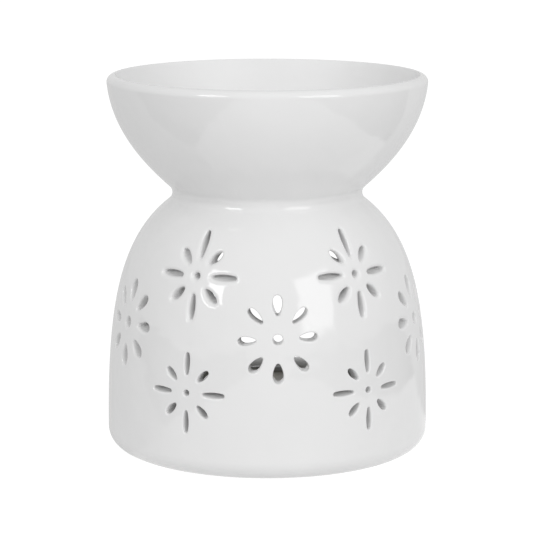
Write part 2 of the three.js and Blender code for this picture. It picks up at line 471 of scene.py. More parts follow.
@dataclass(frozen=True)
class BraidedCotton(Finish):
    """Braided cotton yarn, primed with wax.

    The eye sees a dull cream cord with fine fibres along its strands.
    """

    name: str = "waxed_cotton_braid"
    yarn: str = "#efe9da"
    shade: str = "#d9d0bb"
    fibre: float = 0.12
    fibre_height: float = 0.03
    fibre_strength: float = 0.8
    roughness: float = 0.88
    ior: float = 1.53

    def dress(self, tree: bpy.types.NodeTree, shader: bpy.types.Node) -> None:
        """Streaks the yarn with fibres.

        Args:
            tree: the material's node tree.
            shader: its Principled shader.
        """
        place = add_node(tree, "ShaderNodeTexCoord").outputs["Object"]
        fibres = add_node(
            tree,
            "ShaderNodeTexNoise",
            inputs={"Vector": place, "Scale": per_metre(self.fibre), "Detail": 3.0},
        ).outputs["Fac"]
        colour = add_node(
            tree,
            "ShaderNodeMix",
            {"data_type": "RGBA"},
            {0: fibres, 6: linear(self.shade), 7: linear(self.yarn)},
        ).outputs[2]
        raised = add_node(
            tree,
            "ShaderNodeBump",
            inputs={
                "Height": fibres,
                "Distance": self.fibre_height * MM,
                "Strength": self.fibre_strength,
            },
        ).outputs["Normal"]
        set_inputs(
            tree,
            shader,
            {
                "Base Color": colour,
                "Roughness": self.roughness,
                "IOR": self.ior,
                "Normal": raised,
            },
        )


@dataclass(frozen=True)
class TinnedSteel(Finish):
    """Thin tinned steel, blanked and punched.

    The eye sees a grey metal with a faintly clouded lustre.
    """

    name: str = "tinned_sheet_steel"
    bright: str = "#c3c5c7"
    clouded: str = "#a7a9ab"
    cloud_size: float = 1.8
    roughness: tuple[float, float] = (0.25, 0.5)

    def dress(self, tree: bpy.types.NodeTree, shader: bpy.types.Node) -> None:
        """Clouds the tin's colour and lustre together.

        Args:
            tree: the material's node tree.
            shader: its Principled shader.
        """
        place = add_node(tree, "ShaderNodeTexCoord").outputs["Object"]
        cloud = add_node(
            tree,
            "ShaderNodeTexNoise",
            inputs={"Vector": place, "Scale": per_metre(self.cloud_size), "Detail": 3.0},
        ).outputs["Fac"]
        colour = add_node(
            tree,
            "ShaderNodeMix",
            {"data_type": "RGBA"},
            {0: cloud, 6: linear(self.bright), 7: linear(self.clouded)},
        ).outputs[2]
        lustre = add_node(
            tree,
            "ShaderNodeMapRange",
            inputs={"Value": cloud, "To Min": self.roughness[0], "To Max": self.roughness[1]},
        ).outputs["Result"]
        set_inputs(tree, shader, {"Base Color": colour, "Metallic": 1.0, "Roughness": lustre})


@dataclass
class Shell:
    """Triangles of a surface.

    Attributes:
        points: places, one row each.
        normals: unit normals of the smooth surface at the points.
        corners: three point numbers for each triangle, anticlockwise from outside.
        coat_and_shade: how dry the glaze is at the points, and how much painted shade greys them.
    """

    points: Array
    normals: Array
    corners: Array
    coat_and_shade: Array

    @staticmethod
    def of_grid(points: Array, normals: Array, coat_and_shade: float | Array = 0.0) -> "Shell":
        """Fills a grid of points with triangles.

        Args:
            points: an array of rows, columns and x, y, z. Seen from outside, columns go right
                and rows go up.
            normals: unit normals of the same shape.
            coat_and_shade: how dry the glaze is, and how much painted shade greys it, everywhere or
                row by row.

        Returns:
            The shell.
        """
        rows, columns = points.shape[:2]
        number = np.arange(rows * columns).reshape(rows, columns)
        low, high = number[:-1], number[1:]
        first = np.stack([low[:, :-1], low[:, 1:], high[:, 1:]], axis=-1)
        second = np.stack([low[:, :-1], high[:, 1:], high[:, :-1]], axis=-1)
        corners = np.concatenate([first.reshape(-1, 3), second.reshape(-1, 3)])
        coats_and_shade = np.broadcast_to(np.reshape(coat_and_shade, (-1, 1)), (rows, columns))
        return Shell(points.reshape(-1, 3), normals.reshape(-1, 3), corners, coats_and_shade.ravel())

    @staticmethod
    def joined(parts: "list[Shell]") -> "Shell":
        """Puts shells together and welds them.

        Points that lie together become one, with the normal of the first of them, and triangles
        that this flattens are dropped.

        Args:
            parts: the shells.

        Returns:
            One shell.
        """
        points = np.concatenate([part.points for part in parts])
        normals = np.concatenate([part.normals for part in parts])
        coat_and_shade = np.concatenate([part.coat_and_shade for part in parts])
        starts = np.cumsum([0] + [len(part.points) for part in parts[:-1]])
        corners = np.concatenate([part.corners + start for part, start in zip(parts, starts)])
        _, kept, number = np.unique(
            np.round(points, WELD_DECIMALS) + 0.0, axis=0, return_index=True, return_inverse=True
        )
        corners = number.reshape(-1)[corners]
        after = np.roll(corners, -1, axis=1)
        whole = np.all(corners != after, axis=1)
        return Shell(points[kept], normals[kept], corners[whole], coat_and_shade[kept])

    def to_object(self, name: str, finish: bpy.types.Material) -> bpy.types.Object:
        """Makes a Blender object that shades smoothly with the shell's own normals.

        Args:
            name: the object's name.
            finish: its material.

        Returns:
            The object, linked to the scene.
        """
        mesh = bpy.data.meshes.new(name)
        mesh.from_pydata(self.points * MM, [], self.corners)
        mesh.polygons.foreach_set("use_smooth", np.ones(len(self.corners), bool))
        mark = mesh.attributes.new(COAT_AND_SHADE, "FLOAT", "POINT")
        mark.data.foreach_set("value", self.coat_and_shade.astype(np.float32))
        mesh.validate()
        mesh.normals_split_custom_set_from_vertices(self.normals)
        mesh.materials.append(finish)
        return add_object(name, mesh)


def unit(vectors: Array) -> Array:
    """Scales vectors to length one."""
    return vectors / np.maximum(np.linalg.norm(vectors, axis=-1, keepdims=True), LEAST_LENGTH)


def heading(angle: float) -> Array:
    """Gives the plane direction at an angle."""
    return np.array([cos(angle), sin(angle)])


def arc(centre: Array, radius: float, start: float, end: float, steps: int) -> Array:
    """Gives points of an arc, both ends included: centre + radius (cos, sin)."""
    angle = np.linspace(start, end, steps + 1)
    return np.asarray(centre) + radius * np.stack([np.cos(angle), np.sin(angle)], axis=-1)


def bezier(controls: list, steps: int) -> Array:
    """Gives points of a Bezier curve: the sum of C(n, i) (1 - t)^(n - i) t^i P_i.

    Args:
        controls: the control points P.
        steps: how many steps t takes from 0 to 1.

    Returns:
        The points, both ends included.
    """
    t = np.linspace(0.0, 1.0, steps + 1)[:, None]
    last = len(controls) - 1
    terms = [
        comb(last, i) * (1 - t) ** (last - i) * t**i * np.asarray(control)
        for i, control in enumerate(controls)
    ]
    return np.sum(terms, axis=0)


def right_of(path: Array) -> Array:
    """Gives unit normals on the right of a plane path, from the slope at each point."""
    slope = np.gradient(path, axis=0)
    return unit(np.stack([slope[:, 1], -slope[:, 0]], axis=-1))


def eased(path: list, reach: float, steps: int = 4) -> Array:
    """Rounds the inner corners of a plane path of straight lines.

    Each corner becomes a quadratic Bezier curve that starts and ends a short way before and
    after it, and never more than a third of the way along a side.

    Args:
        path: the corners of the path.
        reach: how far from the corner the curve starts.
        steps: how many steps the curve takes.

    Returns:
        The points of the rounded path.
    """
    corners = [np.asarray(corner, float) for corner in path]
    pieces = [corners[0][None]]
    for before, corner, after in zip(corners, corners[1:], corners[2:]):
        back, on = before - corner, after - corner
        start = corner + back * min(reach / np.linalg.norm(back), LONGEST_EASE)
        end = corner + on * min(reach / np.linalg.norm(on), LONGEST_EASE)
        pieces.append(bezier([start, corner, end], steps))
    pieces.append(corners[-1][None])
    return np.concatenate(pieces)


def turned(path: Array, columns: int, coat_and_shade: float = 0.0) -> Shell:
    """Carries a profile round the axis: radius r at azimuth a goes to (r sin a, -r cos a).

    Args:
        path: radii and heights along the profile, with the solid on its left.
        columns: how many steps the turn takes.
        coat_and_shade: how dry the glaze is, and how much painted shade greys it.

    Returns:
        The shell, open at the ends of the profile unless they lie on the axis.
    """
    azimuth = np.linspace(0.0, 2 * pi, columns + 1)[None, :]
    outward = right_of(path)
    radius, height = path[:, :1], path[:, 1:]
    level = np.ones_like(azimuth)
    points = np.stack(
        [radius * np.sin(azimuth), -radius * np.cos(azimuth), height * level], axis=-1
    )
    normals = np.stack(
        [
            outward[:, :1] * np.sin(azimuth),
            -outward[:, :1] * np.cos(azimuth),
            outward[:, 1:] * level,
        ],
        axis=-1,
    )
    return Shell.of_grid(points, normals, coat_and_shade)


@dataclass(frozen=True)
class Outline:
    """A convex outline of round corners joined by straight sides, anticlockwise.

    Attributes:
        corners: for each corner its centre's x and y, its radius, and its start and end angle.
        spacing: how far apart its points are, about.
    """

    corners: tuple[tuple[float, float, float, float, float], ...]
    spacing: float = 0.5

    def spun(self, turn: float) -> "Outline":
        """Turns the outline about its own origin.

        Args:
            turn: how far it turns, anticlockwise.

        Returns:
            The turned outline.
        """
        across, along = cos(turn), sin(turn)
        return Outline(
            tuple(
                (x * across - y * along, x * along + y * across, radius, start + turn, end + turn)
                for x, y, radius, start, end in self.corners
            ),
            self.spacing,
        )

    def points(self, grow: float) -> Array:
        """Gives points on the outline grown outwards: centre + (radius + grow) (cos, sin).

        The straight sides run between neighbouring corners. The same number of points is given
        for every growth, so that points of two outlines match.

        Args:
            grow: how far the outline is grown.

        Returns:
            The points in order, the first not repeated.
        """
        rounds = [
            arc(
                (x, y),
                radius + grow,
                start,
                end,
                self._steps((radius + USUAL_GROWTH) * (end - start)),
            )
            for x, y, radius, start, end in self.corners
        ]
        pieces = []
        for here, after in zip(rounds, rounds[1:] + rounds[:1]):
            side = after[0] - here[-1]
            share = np.linspace(0.0, 1.0, self._steps(np.linalg.norm(side)) + 1)[1:-1, None]
            pieces += [here, here[-1] + side * share]
        loop = np.concatenate(pieces)
        apart = np.linalg.norm(loop - np.roll(loop, 1, axis=0), axis=1) > SAME_PLACE
        return loop[apart]

    def distance(self, places: Array) -> Array:
        """Gives how far places lie outside the outline, negative inside.

        That is the largest of (place - centre) . direction - radius, over the directions that
        the corners face.

        Args:
            places: points in the outline's plane.

        Returns:
            One distance for each place.
        """
        far = np.full(len(places), -np.inf)
        for x, y, radius, start, end in self.corners:
            facing = arc((0.0, 0.0), 1.0, start, end, FACINGS)
            far = np.maximum(far, ((places - (x, y)) @ facing.T).max(axis=1) - radius)
        return far

    def _steps(self, length: float) -> int:
        """Gives how many steps a length takes, rounded first so that a small error adds none."""
        return max(LEAST_STEPS, ceil(round(length / self.spacing, 3)))


@dataclass(frozen=True)
class Petal:
    """A petal-shaped hole: an egg of six arcs that run smoothly into each other.

    Attributes:
        inner: how far its tip is from the middle of the daisy.
        outer: how far its outer end is from there.
        width: how wide it is.
        widest: where it is widest, from 0 at the tip to 1 at the outer end.
        end: radius of its outer end.
        tip: radius of its tip.
        stray: how far it is turned anticlockwise from its even place round the eye.
        slant: how far aside and above its outer end its inner end lies.
    """

    inner: float
    outer: float
    width: float
    widest: float
    end: float
    tip: float
    stray: float = 0.0
    slant: tuple[float, float] = (0.0, 0.0)

    @property
    def reach(self) -> float:
        """How far the petal's middle is from the middle of the daisy."""
        return (self.inner + self.outer) / 2

    def outline(self) -> Outline:
        """Gives the petal, pointing up, about its own middle.

        The arc of a side starts at the widest place, half the width w away from the middle line,
        and runs into the end's arc of radius r, whose centre is h further on. So its own radius
        is (w w + h h - r r) / (2 (w - r)).

        Returns:
            The outline.
        """
        half = self.width / 2
        low, high = self.inner - self.reach, self.outer - self.reach
        level = low + self.widest * (high - low)
        rise, fall = high - self.end - level, level - low - self.tip
        upper = (half**2 + rise**2 - self.end**2) / (2 * (half - self.end))
        lower = (half**2 + fall**2 - self.tip**2) / (2 * (half - self.tip))
        over, under = atan2(rise, upper - half), atan2(fall, lower - half)
        return Outline(
            (
                (half - upper, level, upper, 0.0, over),
                (0.0, level + rise, self.end, over, pi - over),
                (upper - half, level, upper, pi - over, pi),
                (lower - half, level, lower, pi, pi + under),
                (0.0, level - fall, self.tip, pi + under, 2 * pi - under),
                (half - lower, level, lower, 2 * pi - under, 2 * pi),
            )
        )


@dataclass(frozen=True)
class DaisyPattern:
    """An eye and the petals that go round it.

    Attributes:
        eye: diameter of the eye.
        petals: the petals, evenly spaced, anticlockwise from the top one.
        lip: how far the glaze rounds the edges of its holes, across the face.
        lip_depth: how far the same rounding reaches into the wall.
        slant: how far aside and above its outer end the inner end of the eye lies.
        aside: how far right of its column the daisy is.
    """

    eye: float
    petals: tuple[Petal, ...]
    lip: float
    lip_depth: float
    slant: tuple[float, float] = (0.0, 0.0)
    aside: float = 0.0

    @staticmethod
    def around(top: Petal, upper: Petal, side: Petal, lower: Petal, bottom: Petal) -> tuple:
        """Gives the eight petals of a daisy that is alike on its left and right."""
        return (top, upper, side, lower, bottom, lower, side, upper)


ROUND_TOP = Petal(6.6, 12.2, 2.75, 0.64, 1.05, 0.55)
ROUND_UPPER = Petal(6.4, 11.9, 2.3, 0.64, 0.9, 0.45)
ROUND_SIDE = Petal(6.3, 11.4, 2.4, 0.68, 0.95, 0.45)
ROUND_LOWER = Petal(6.8, 12.1, 2.7, 0.66, 1.05, 0.5)
ROUND_BOTTOM = Petal(6.8, 12.4, 2.95, 0.64, 1.15, 0.6)
FRONT_SLANT = (0.36, 0.0)
FRONT_PETALS = tuple(
    replace(petal, stray=radians(stray), slant=FRONT_SLANT)
    for petal, stray in (
        (ROUND_TOP, 0.0),
        (ROUND_UPPER, 0.0),
        (ROUND_SIDE, 3.0),
        (ROUND_LOWER, 4.0),
        (ROUND_BOTTOM, 0.0),
        (ROUND_LOWER, -1.5),
        (ROUND_SIDE, 3.0),
        (ROUND_UPPER, 0.0),
    )
)
SIDE_PETALS = DaisyPattern.around(
    ROUND_TOP, ROUND_UPPER, replace(ROUND_SIDE, slant=(0.0, 0.7)), ROUND_LOWER, ROUND_BOTTOM
)
HIGH_SLANT = (0.0, 0.4)
HIGH_UPPER = Petal(4.8, 9.3, 1.75, 0.6, 0.45, 0.25)
HIGH_SIDE = Petal(5.0, 12.0, 1.5, 0.5, 0.4, 0.3, slant=(0.0, 1.3))
HIGH_LOWER = Petal(5.0, 9.7, 1.85, 0.55, 0.45, 0.3, slant=HIGH_SLANT)
HIGH_PETALS = (
    Petal(4.9, 11.8, 1.45, 0.6, 0.35, 0.2, slant=HIGH_SLANT),
    replace(HIGH_UPPER, slant=(1.2, 0.4)),
    HIGH_SIDE,
    replace(HIGH_LOWER, slant=(0.6, 0.9)),
    Petal(5.1, 11.8, 1.45, 0.55, 0.35, 0.25, slant=HIGH_SLANT),
    HIGH_LOWER,
    HIGH_SIDE,
    replace(HIGH_UPPER, slant=(0.5, 0.4)),
)
LOW_UPRIGHT = Petal(5.2, 11.5, 1.45, 0.55, 0.5, 0.35)
LOW_SIDE = replace(LOW_UPRIGHT, outer=11.7, slant=(0.0, 0.6))
LOW_BETWEEN = Petal(5.0, 9.4, 1.8, 0.58, 0.6, 0.4)
LOW_PETALS = DaisyPattern.around(LOW_UPRIGHT, LOW_BETWEEN, LOW_SIDE, LOW_BETWEEN, LOW_UPRIGHT)


class Daisy(Enum):
    """The daisies that are pierced through the wall, by where they are."""

    FRONT = DaisyPattern(2.8, FRONT_PETALS, lip=0.5, lip_depth=1.1, slant=FRONT_SLANT, aside=-0.36)
    SIDE = DaisyPattern(2.7, SIDE_PETALS, lip=1.0, lip_depth=2.0)
    HIGH = DaisyPattern(1.6, HIGH_PETALS, lip=1.45, lip_depth=2.4, slant=HIGH_SLANT)
    LOW = DaisyPattern(1.6, LOW_PETALS, lip=0.65, lip_depth=1.3)


@dataclass(frozen=True)
class Face:
    """One face of the wall, as its radius by height.

    Attributes:
        heights: rising heights.
        radii: the radius at each height.
        facing: 1 if the face looks away from the axis, -1 if it looks towards it.
    """

    heights: Array
    radii: Array
    facing: int

    def radius(self, height: Array) -> Array:
        """Gives the radius at heights."""
        return np.interp(height, self.heights, self.radii)

    def length(self, height: Array) -> Array:
        """Gives the length of the profile up to heights."""
        steps = np.hypot(np.diff(self.heights), np.diff(self.radii))
        return np.interp(height, self.heights, np.concatenate([[0.0], np.cumsum(steps)]))

    def rows(self, low: float, high: float, pitch: float) -> Array:
        """Gives heights that are evenly spaced along the profile.

        Args:
            low: the lowest height.
            high: the highest height.
            pitch: how far apart they are along the profile, at most.

        Returns:
            The rising heights.
        """
        fine = np.linspace(low, high, FINE_STEPS)
        lengths = self.length(fine)
        count = ceil((lengths[-1] - lengths[0]) / pitch) + 1
        return np.interp(np.linspace(lengths[0], lengths[-1], count), lengths, fine)

    def points(self, azimuth: Array, height: Array) -> Array:
        """Gives places on the face: (r sin a, -r cos a, z)."""
        radius = self.radius(height)
        return np.stack([radius * np.sin(azimuth), -radius * np.cos(azimuth), height], axis=-1)

    def normals(self, azimuth: Array, height: Array) -> Array:
        """Gives unit normals of the face: (sin a, -cos a, -dr/dz), turned to where it looks."""
        slope = np.interp(height, self.heights, np.gradient(self.radii, self.heights))
        return self.facing * unit(np.stack([np.sin(azimuth), -np.cos(azimuth), -slope], axis=-1))


@dataclass(frozen=True)
class Hole:
    """A hole cut through the wall, towards the axis or nearly so.

    Attributes:
        outline: its outline, x across and y up from its middle.
        azimuth: where its middle is round the wall.
        height: where its middle is up the wall.
        lip: how far the glaze rounds its outer edge, across the face.
        lip_depth: how far the same rounding reaches into the wall.
        inner_lip: how far the glaze rounds its inner edge.
        slant: how far aside and above its outer end its inner end lies.
    """

    outline: Outline
    azimuth: float
    height: float
    lip: float
    lip_depth: float
    inner_lip: float
    slant: tuple[float, float] = (0.0, 0.0)

    def margin(self, face: Face) -> float:
        """Gives how far outside the outline the rounded edge meets a face."""
        return self.lip if face.facing > 0 else self.inner_lip

    def drift(self, face: Face) -> Array:
        """Gives how far aside and above the hole's middle its end in a face lies."""
        return np.zeros(2) if face.facing > 0 else np.array(self.slant)

    def ring(self, face: Face) -> tuple[Array, Array]:
        """Gives azimuths and heights of the loop where the rounded edge meets a face.

        Args:
            face: the face.

        Returns:
            The azimuths and the heights.
        """
        across, up = (self.outline.points(self.margin(face)) + self.drift(face)).T
        height = self.height + up
        return self.azimuth + np.arcsin(across / face.radius(height)), height

    def distance(self, face: Face, azimuth: Array, height: Array) -> Array:
        """Gives how far places on a face lie outside the rounded edge, negative within it.

        Args:
            face: the face.
            azimuth: where the places are round it.
            height: where they are up it.

        Returns:
            One distance for each place.
        """
        turn = (azimuth - self.azimuth + pi) % (2 * pi) - pi
        across = face.radius(height) * np.sin(np.clip(turn, -pi / 2, pi / 2))
        places = np.stack([across, height - self.height], axis=-1)
        return self.outline.distance(places - self.drift(face)) - self.margin(face)

    def wall(self, outer: Face, inner: Face, lip_steps: int, wall_steps: int) -> Shell:
        """Makes the rounded outer edge, the straight wall and the rounded inner edge.

        Ring by ring, a quarter of a rounded square takes the outline from grown by the lip, on
        the outer face, to its true size at the lip's depth: across and depth are the sine and
        cosine to the power 2/3, so that the lip leaves the face gently, and the rings crowd
        together there. The wall goes straight in, and a quarter round grows the outline again
        on to the inner face, while the glaze gets dry and greyed with painted shade.

        Args:
            outer: the wall's outer face.
            inner: the wall's inner face.
            lip_steps: how many steps each quarter round takes.
            wall_steps: how many steps the straight wall takes.

        Returns:
            The shell.
        """
        swing = np.linspace(0.0, pi / 2, lip_steps + 1)
        rings = []
        for angle in pi / 2 * np.linspace(0.0, 1.0, lip_steps + 1) ** LIP_CROWDING:
            grown = self.outline.points(self.lip * (1 - sin(angle) ** LIP_POWER))
            fall = 1 - max(cos(angle), 0.0) ** LIP_POWER
            rings.append(self._places(grown, outer, -self.lip_depth * fall))
        leaving = [
            self._places(
                self.outline.points(self.inner_lip * (1 - cos(angle))),
                inner,
                self.inner_lip * (1 - sin(angle)),
            )
            for angle in swing
        ]
        for share in np.linspace(0.0, 1.0, wall_steps + 1)[1:-1]:
            rings.append(rings[lip_steps] * (1 - share) + leaving[0] * share)
        # the inner lip dries and greys into the painted shade of the lantern's inside
        coat_and_shade = np.concatenate([np.zeros(len(rings)), LANTERN_COAT_AND_SHADE * (1 - np.cos(swing))])
        places = np.stack(rings + leaving)
        along = np.roll(places, -1, axis=1) - np.roll(places, 1, axis=1)
        normals = unit(np.cross(along, np.gradient(places, axis=0)))
        normals[0] = outer.normals(*self.ring(outer))
        normals[-1] = inner.normals(*self.ring(inner))
        places = np.concatenate([places, places[:, :1]], axis=1)
        normals = np.concatenate([normals, normals[:, :1]], axis=1)
        return Shell.of_grid(places, normals, coat_and_shade)

    def _places(self, outline: Array, face: Face, step: float) -> Array:
        """Puts outline points on a face, and moves them a step out along the hole's own radius.

        Args:
            outline: the points, x across and y up.
            face: the face.
            step: how far they are moved, negative towards the axis.

        Returns:
            The places.
        """
        across, up = (outline + self.drift(face)).T
        height = self.height + up
        out = np.sqrt(face.radius(height) ** 2 - across**2) + step
        aside, ahead = sin(self.azimuth), cos(self.azimuth)
        return np.stack(
            [out * aside + across * ahead, -out * ahead + across * aside, height], axis=-1
        )


def pierced(face: Face, holes: list[Hole], rows: Array, columns: int, seam: float) -> Shell:
    """Covers a face of the wall with triangles that leave its holes open.

    The face is unrolled flat, with the azimuth across and the length of the profile up. A
    staggered grid of points that keep clear of the holes, and the loops round the holes, are
    triangulated together, and the triangles within the loops are dropped.

    Args:
        face: the face.
        holes: the holes, none of which reaches the seam.
        rows: heights of the grid's rows.
        columns: how many steps the grid takes round the wall.
        seam: azimuth at which the face is cut open.

    Returns:
        The shell.
    """
    step = 2 * pi / columns
    clear = HOLE_CLEARANCE * step * float(face.radii.max())
    azimuth, height = np.meshgrid(seam + step * np.arange(columns + 1), rows)
    azimuth[1:-1:2, 1:-1] += step / 2
    border = np.zeros(azimuth.shape, bool)
    border[[0, -1], :] = True
    border[:, [0, -1]] = True
    keep = np.ones(azimuth.size, bool)
    for hole in holes:
        keep &= hole.distance(face, azimuth.ravel(), height.ravel()) > clear
    keep = keep.reshape(azimuth.shape) | border
    number = np.cumsum(keep.ravel()).reshape(azimuth.shape) - 1
    loop = np.concatenate(
        [number[0, :-1], number[:-1, -1], number[-1, :0:-1], number[:0:-1, 0]]
    )
    azimuths, heights = [azimuth[keep]], [height[keep]]
    edges = [np.stack([loop, np.roll(loop, -1)], axis=-1)]
    start = int(keep.sum())
    for hole in holes:
        turn, up = hole.ring(face)
        turn = seam + (turn - seam) % (2 * pi)
        ring = start + np.arange(len(turn))
        azimuths.append(turn)
        heights.append(up)
        edges.append(np.stack([ring, np.roll(ring, -1)], axis=-1))
        start += len(turn)
    azimuth, height = np.concatenate(azimuths), np.concatenate(heights)
    flat = np.stack([azimuth * float(face.radii.mean()), face.length(height)], axis=-1)
    _, _, triangles, *_ = delaunay_2d_cdt(
        flat.tolist(), np.concatenate(edges).tolist(), [], 0, MESHING_TOLERANCE, False
    )
    corners = np.array(triangles)
    across, along = (flat[corners[:, i]] - flat[corners[:, 0]] for i in (1, 2))
    area = across[:, 0] * along[:, 1] - across[:, 1] * along[:, 0]
    corners = corners[np.abs(area) > LEAST_AREA]
    middle_azimuth, middle_height = azimuth[corners].mean(axis=1), height[corners].mean(axis=1)
    solid = np.ones(len(corners), bool)
    for hole in holes:
        solid &= hole.distance(face, middle_azimuth, middle_height) > HOLE_EDGE
    corners = corners[solid]
    if face.facing < 0:
        corners = corners[:, ::-1]
    # the inner face is dry and greyed with painted shade
    coat_and_shade = np.full(len(azimuth), LANTERN_COAT_AND_SHADE if face.facing < 0 else 0.0)
    return Shell(face.points(azimuth, height), face.normals(azimuth, height), corners, coat_and_shade)


@dataclass
class Neck:
    """The round crease where the bowl is stuck on the lantern, split at its tightest point."""

    radius: float = 28.3
    height: float = 76.3
    fillet: float = 3.0
    shoulder_slope: float = radians(38)
    bowl_flare: float = radians(42)
    seat_width: float = 4.4

    @property
    def centre(self) -> Array:
        """The middle of the fillet's arc."""
        return np.array([self.radius + self.fillet, self.height])

    @property
    def seat_inner(self) -> float:
        """The inner radius of the ring on which bowl and lantern meet."""
        return self.radius - self.seat_width

    def lower(self, steps: int) -> Array:
        """Gives the lantern's half of the crease, upwards."""
        return arc(self.centre, self.fillet, 1.5 * pi - self.shoulder_slope, pi, steps)

    def upper(self, steps: int) -> Array:
        """Gives the bowl's half of the crease, upwards."""
        return arc(self.centre, self.fillet, pi, 0.5 * pi + self.bowl_flare, steps)


@dataclass
class LanternBody:
    """The lower casting: foot, pierced wall, floor and the seat for the bowl."""

    neck: Neck
    radius: float = 48.0
    foot_corner: float = 5.5
    side_rise: float = 35.0
    shoulder_reach: float = 19.3
    wall: float = 4.8
    floor_thickness: float = 5.0
    floor_corner: float = 4.5
    foot_recess: float = 1.5
    foot_ring: float = 5.0
    arch_width: float = 56.0
    arch_top: float = 64.0
    arch_sill: float = 15.1
    arch_corner: float = 8.0
    middle_row: float = 41.0
    row_pitch: float = 16.4
    column_pitch: float = radians(33.4)
    columns_per_side: int = 2
    petal_inner_lip: float = 0.6
    arch_lip: float = 1.2
    arch_inner_lip: float = 3.4
    columns: int = 240
    outer_pitch: float = 1.25
    inner_pitch: float = 2.0
    seam: float = radians(127)
    arch_spacing: float = 1.1  # how far apart the points of the arch's outline are
    recess_ease: float = 0.7  # how far the corners under the foot are eased
    foot_edge: float = 0.4  # how far inside the foot's corner the flat of the ring ends
    outer_start: float = 2.0  # how far above the foot's corner the pierced outer face starts
    outer_end: float = 2.9  # how far below the neck it ends
    inner_start: float = 0.4  # how far above the floor's corner the pierced inner face starts
    inner_end: float = 3.5  # how far below the neck it ends
    crease_steps: int = 60
    foot_corner_steps: int = 16
    floor_corner_steps: int = 12
    foot_rows: int = 4
    floor_rows: int = 8
    neck_rows: int = 10
    throat_rows: int = 5
    lip_steps: int = 5
    hole_steps: int = 2

    @property
    def floor_top(self) -> float:
        """The height of the floor that the tealight stands on."""
        return self.foot_recess + self.floor_thickness

    def side(self, steps: int) -> Array:
        """Gives the outer side from the foot's corner up to the neck.

        Args:
            steps: how many steps it takes.

        Returns:
            The profile's radii and heights.
        """
        shoulder = self.neck.lower(1)[0]
        return bezier(
            [
                (self.radius, self.foot_corner),
                (self.radius, self.foot_corner + self.side_rise),
                shoulder + self.shoulder_reach * heading(-self.neck.shoulder_slope),
                shoulder,
            ],
            steps,
        )

    def outer_face(self) -> Face:
        """Gives the outer face from the foot's corner to the neck's tightest point.

        Returns:
            The face.
        """
        crease = self.neck.lower(self.crease_steps)
        path = np.concatenate([self.side(PROFILE_STEPS), crease[1:]])
        return Face(path[:, 1], path[:, 0], 1)

    def inner_face(self) -> Face:
        """Gives the inner face: the side set in by the wall, then straight up to the seat.

        Returns:
            The face.
        """
        side = self.side(PROFILE_STEPS)
        path = side - self.wall * right_of(side)
        path = path[path[:, 1] > self.floor_top + self.floor_corner]
        path = np.concatenate([path, [(self.neck.seat_inner, self.neck.height)]])
        return Face(path[:, 1], path[:, 0], -1)

    def daisy_holes(self, daisy: Daisy, azimuth: float, height: float, face: Face) -> list[Hole]:
        """Gives the holes of one daisy, each cut towards the axis or slanted as its petal says.

        Args:
            daisy: which daisy.
            azimuth: where its middle is round the wall.
            height: where its middle is up the wall.
            face: the wall's outer face.

        Returns:
            The eye and the petals.
        """
        pattern = daisy.value
        edges = (pattern.lip, pattern.lip_depth, self.petal_inner_lip)
        eye = Outline(((0.0, 0.0, pattern.eye / 2, 0.0, 2 * pi),))
        radius = float(face.radius(height))
        azimuth += pattern.aside / radius
        holes = [Hole(eye, azimuth, height, *edges, pattern.slant)]
        for number, petal in enumerate(pattern.petals):
            turn = 2 * pi * number / len(pattern.petals) + petal.stray
            aside, up = -petal.reach * sin(turn), petal.reach * cos(turn)
            outline = petal.outline().spun(turn)
            middle = (azimuth + aside / radius, height + up)
            holes.append(Hole(outline, *middle, *edges, petal.slant))
        return holes

    def arch_hole(self) -> Hole:
        """Gives the arch at the back: rounded sill, upright sides and a half-round head.

        Returns:
            The hole.
        """
        half, corner = self.arch_width / 2, self.arch_corner
        spring = self.arch_top - half
        low = self.arch_sill + corner - spring
        outline = Outline(
            (
                (0.0, 0.0, half, 0.0, pi),
                (corner - half, low, corner, pi, 1.5 * pi),
                (half - corner, low, corner, 1.5 * pi, 2 * pi),
            ),
            self.arch_spacing,
        )
        return Hole(outline, pi, spring, self.arch_lip, self.arch_lip, self.arch_inner_lip)

    def holes(self, face: Face) -> list[Hole]:
        """Gives every hole: the arch, round daisies in even columns and pairs of slim ones in odd.

        Args:
            face: the wall's outer face.

        Returns:
            The holes.
        """
        holes = [self.arch_hole()]
        for column in range(-self.columns_per_side, self.columns_per_side + 1):
            azimuth = column * self.column_pitch
            if column % 2 == 0:
                daisies = ((Daisy.SIDE if column else Daisy.FRONT, 0.0),)
            else:
                daisies = ((Daisy.HIGH, self.row_pitch), (Daisy.LOW, -self.row_pitch))
            for daisy, rise in daisies:
                holes += self.daisy_holes(daisy, azimuth, self.middle_row + rise, face)
        return holes

    def foot(self, top: float) -> Array:
        """Gives the profile from the middle of the recess, round the foot, up to a height.

        Args:
            top: the height.

        Returns:
            The profile's radii and heights.
        """
        ring = self.radius - self.foot_corner
        under = eased(
            [
                (0.0, self.foot_recess),
                (ring - self.foot_ring - self.foot_recess, self.foot_recess),
                (ring - self.foot_ring, 0.0),
                (ring - self.foot_edge, 0.0),
            ],
            self.recess_ease,
        )
        centre = (ring, self.foot_corner)
        corner = arc(centre, self.foot_corner, -pi / 2, 0.0, self.foot_corner_steps)
        face = self.outer_face()
        rise = np.linspace(self.foot_corner, top, self.foot_rows)[1:]
        return np.concatenate([under, corner, np.stack([face.radius(rise), rise], axis=-1)])

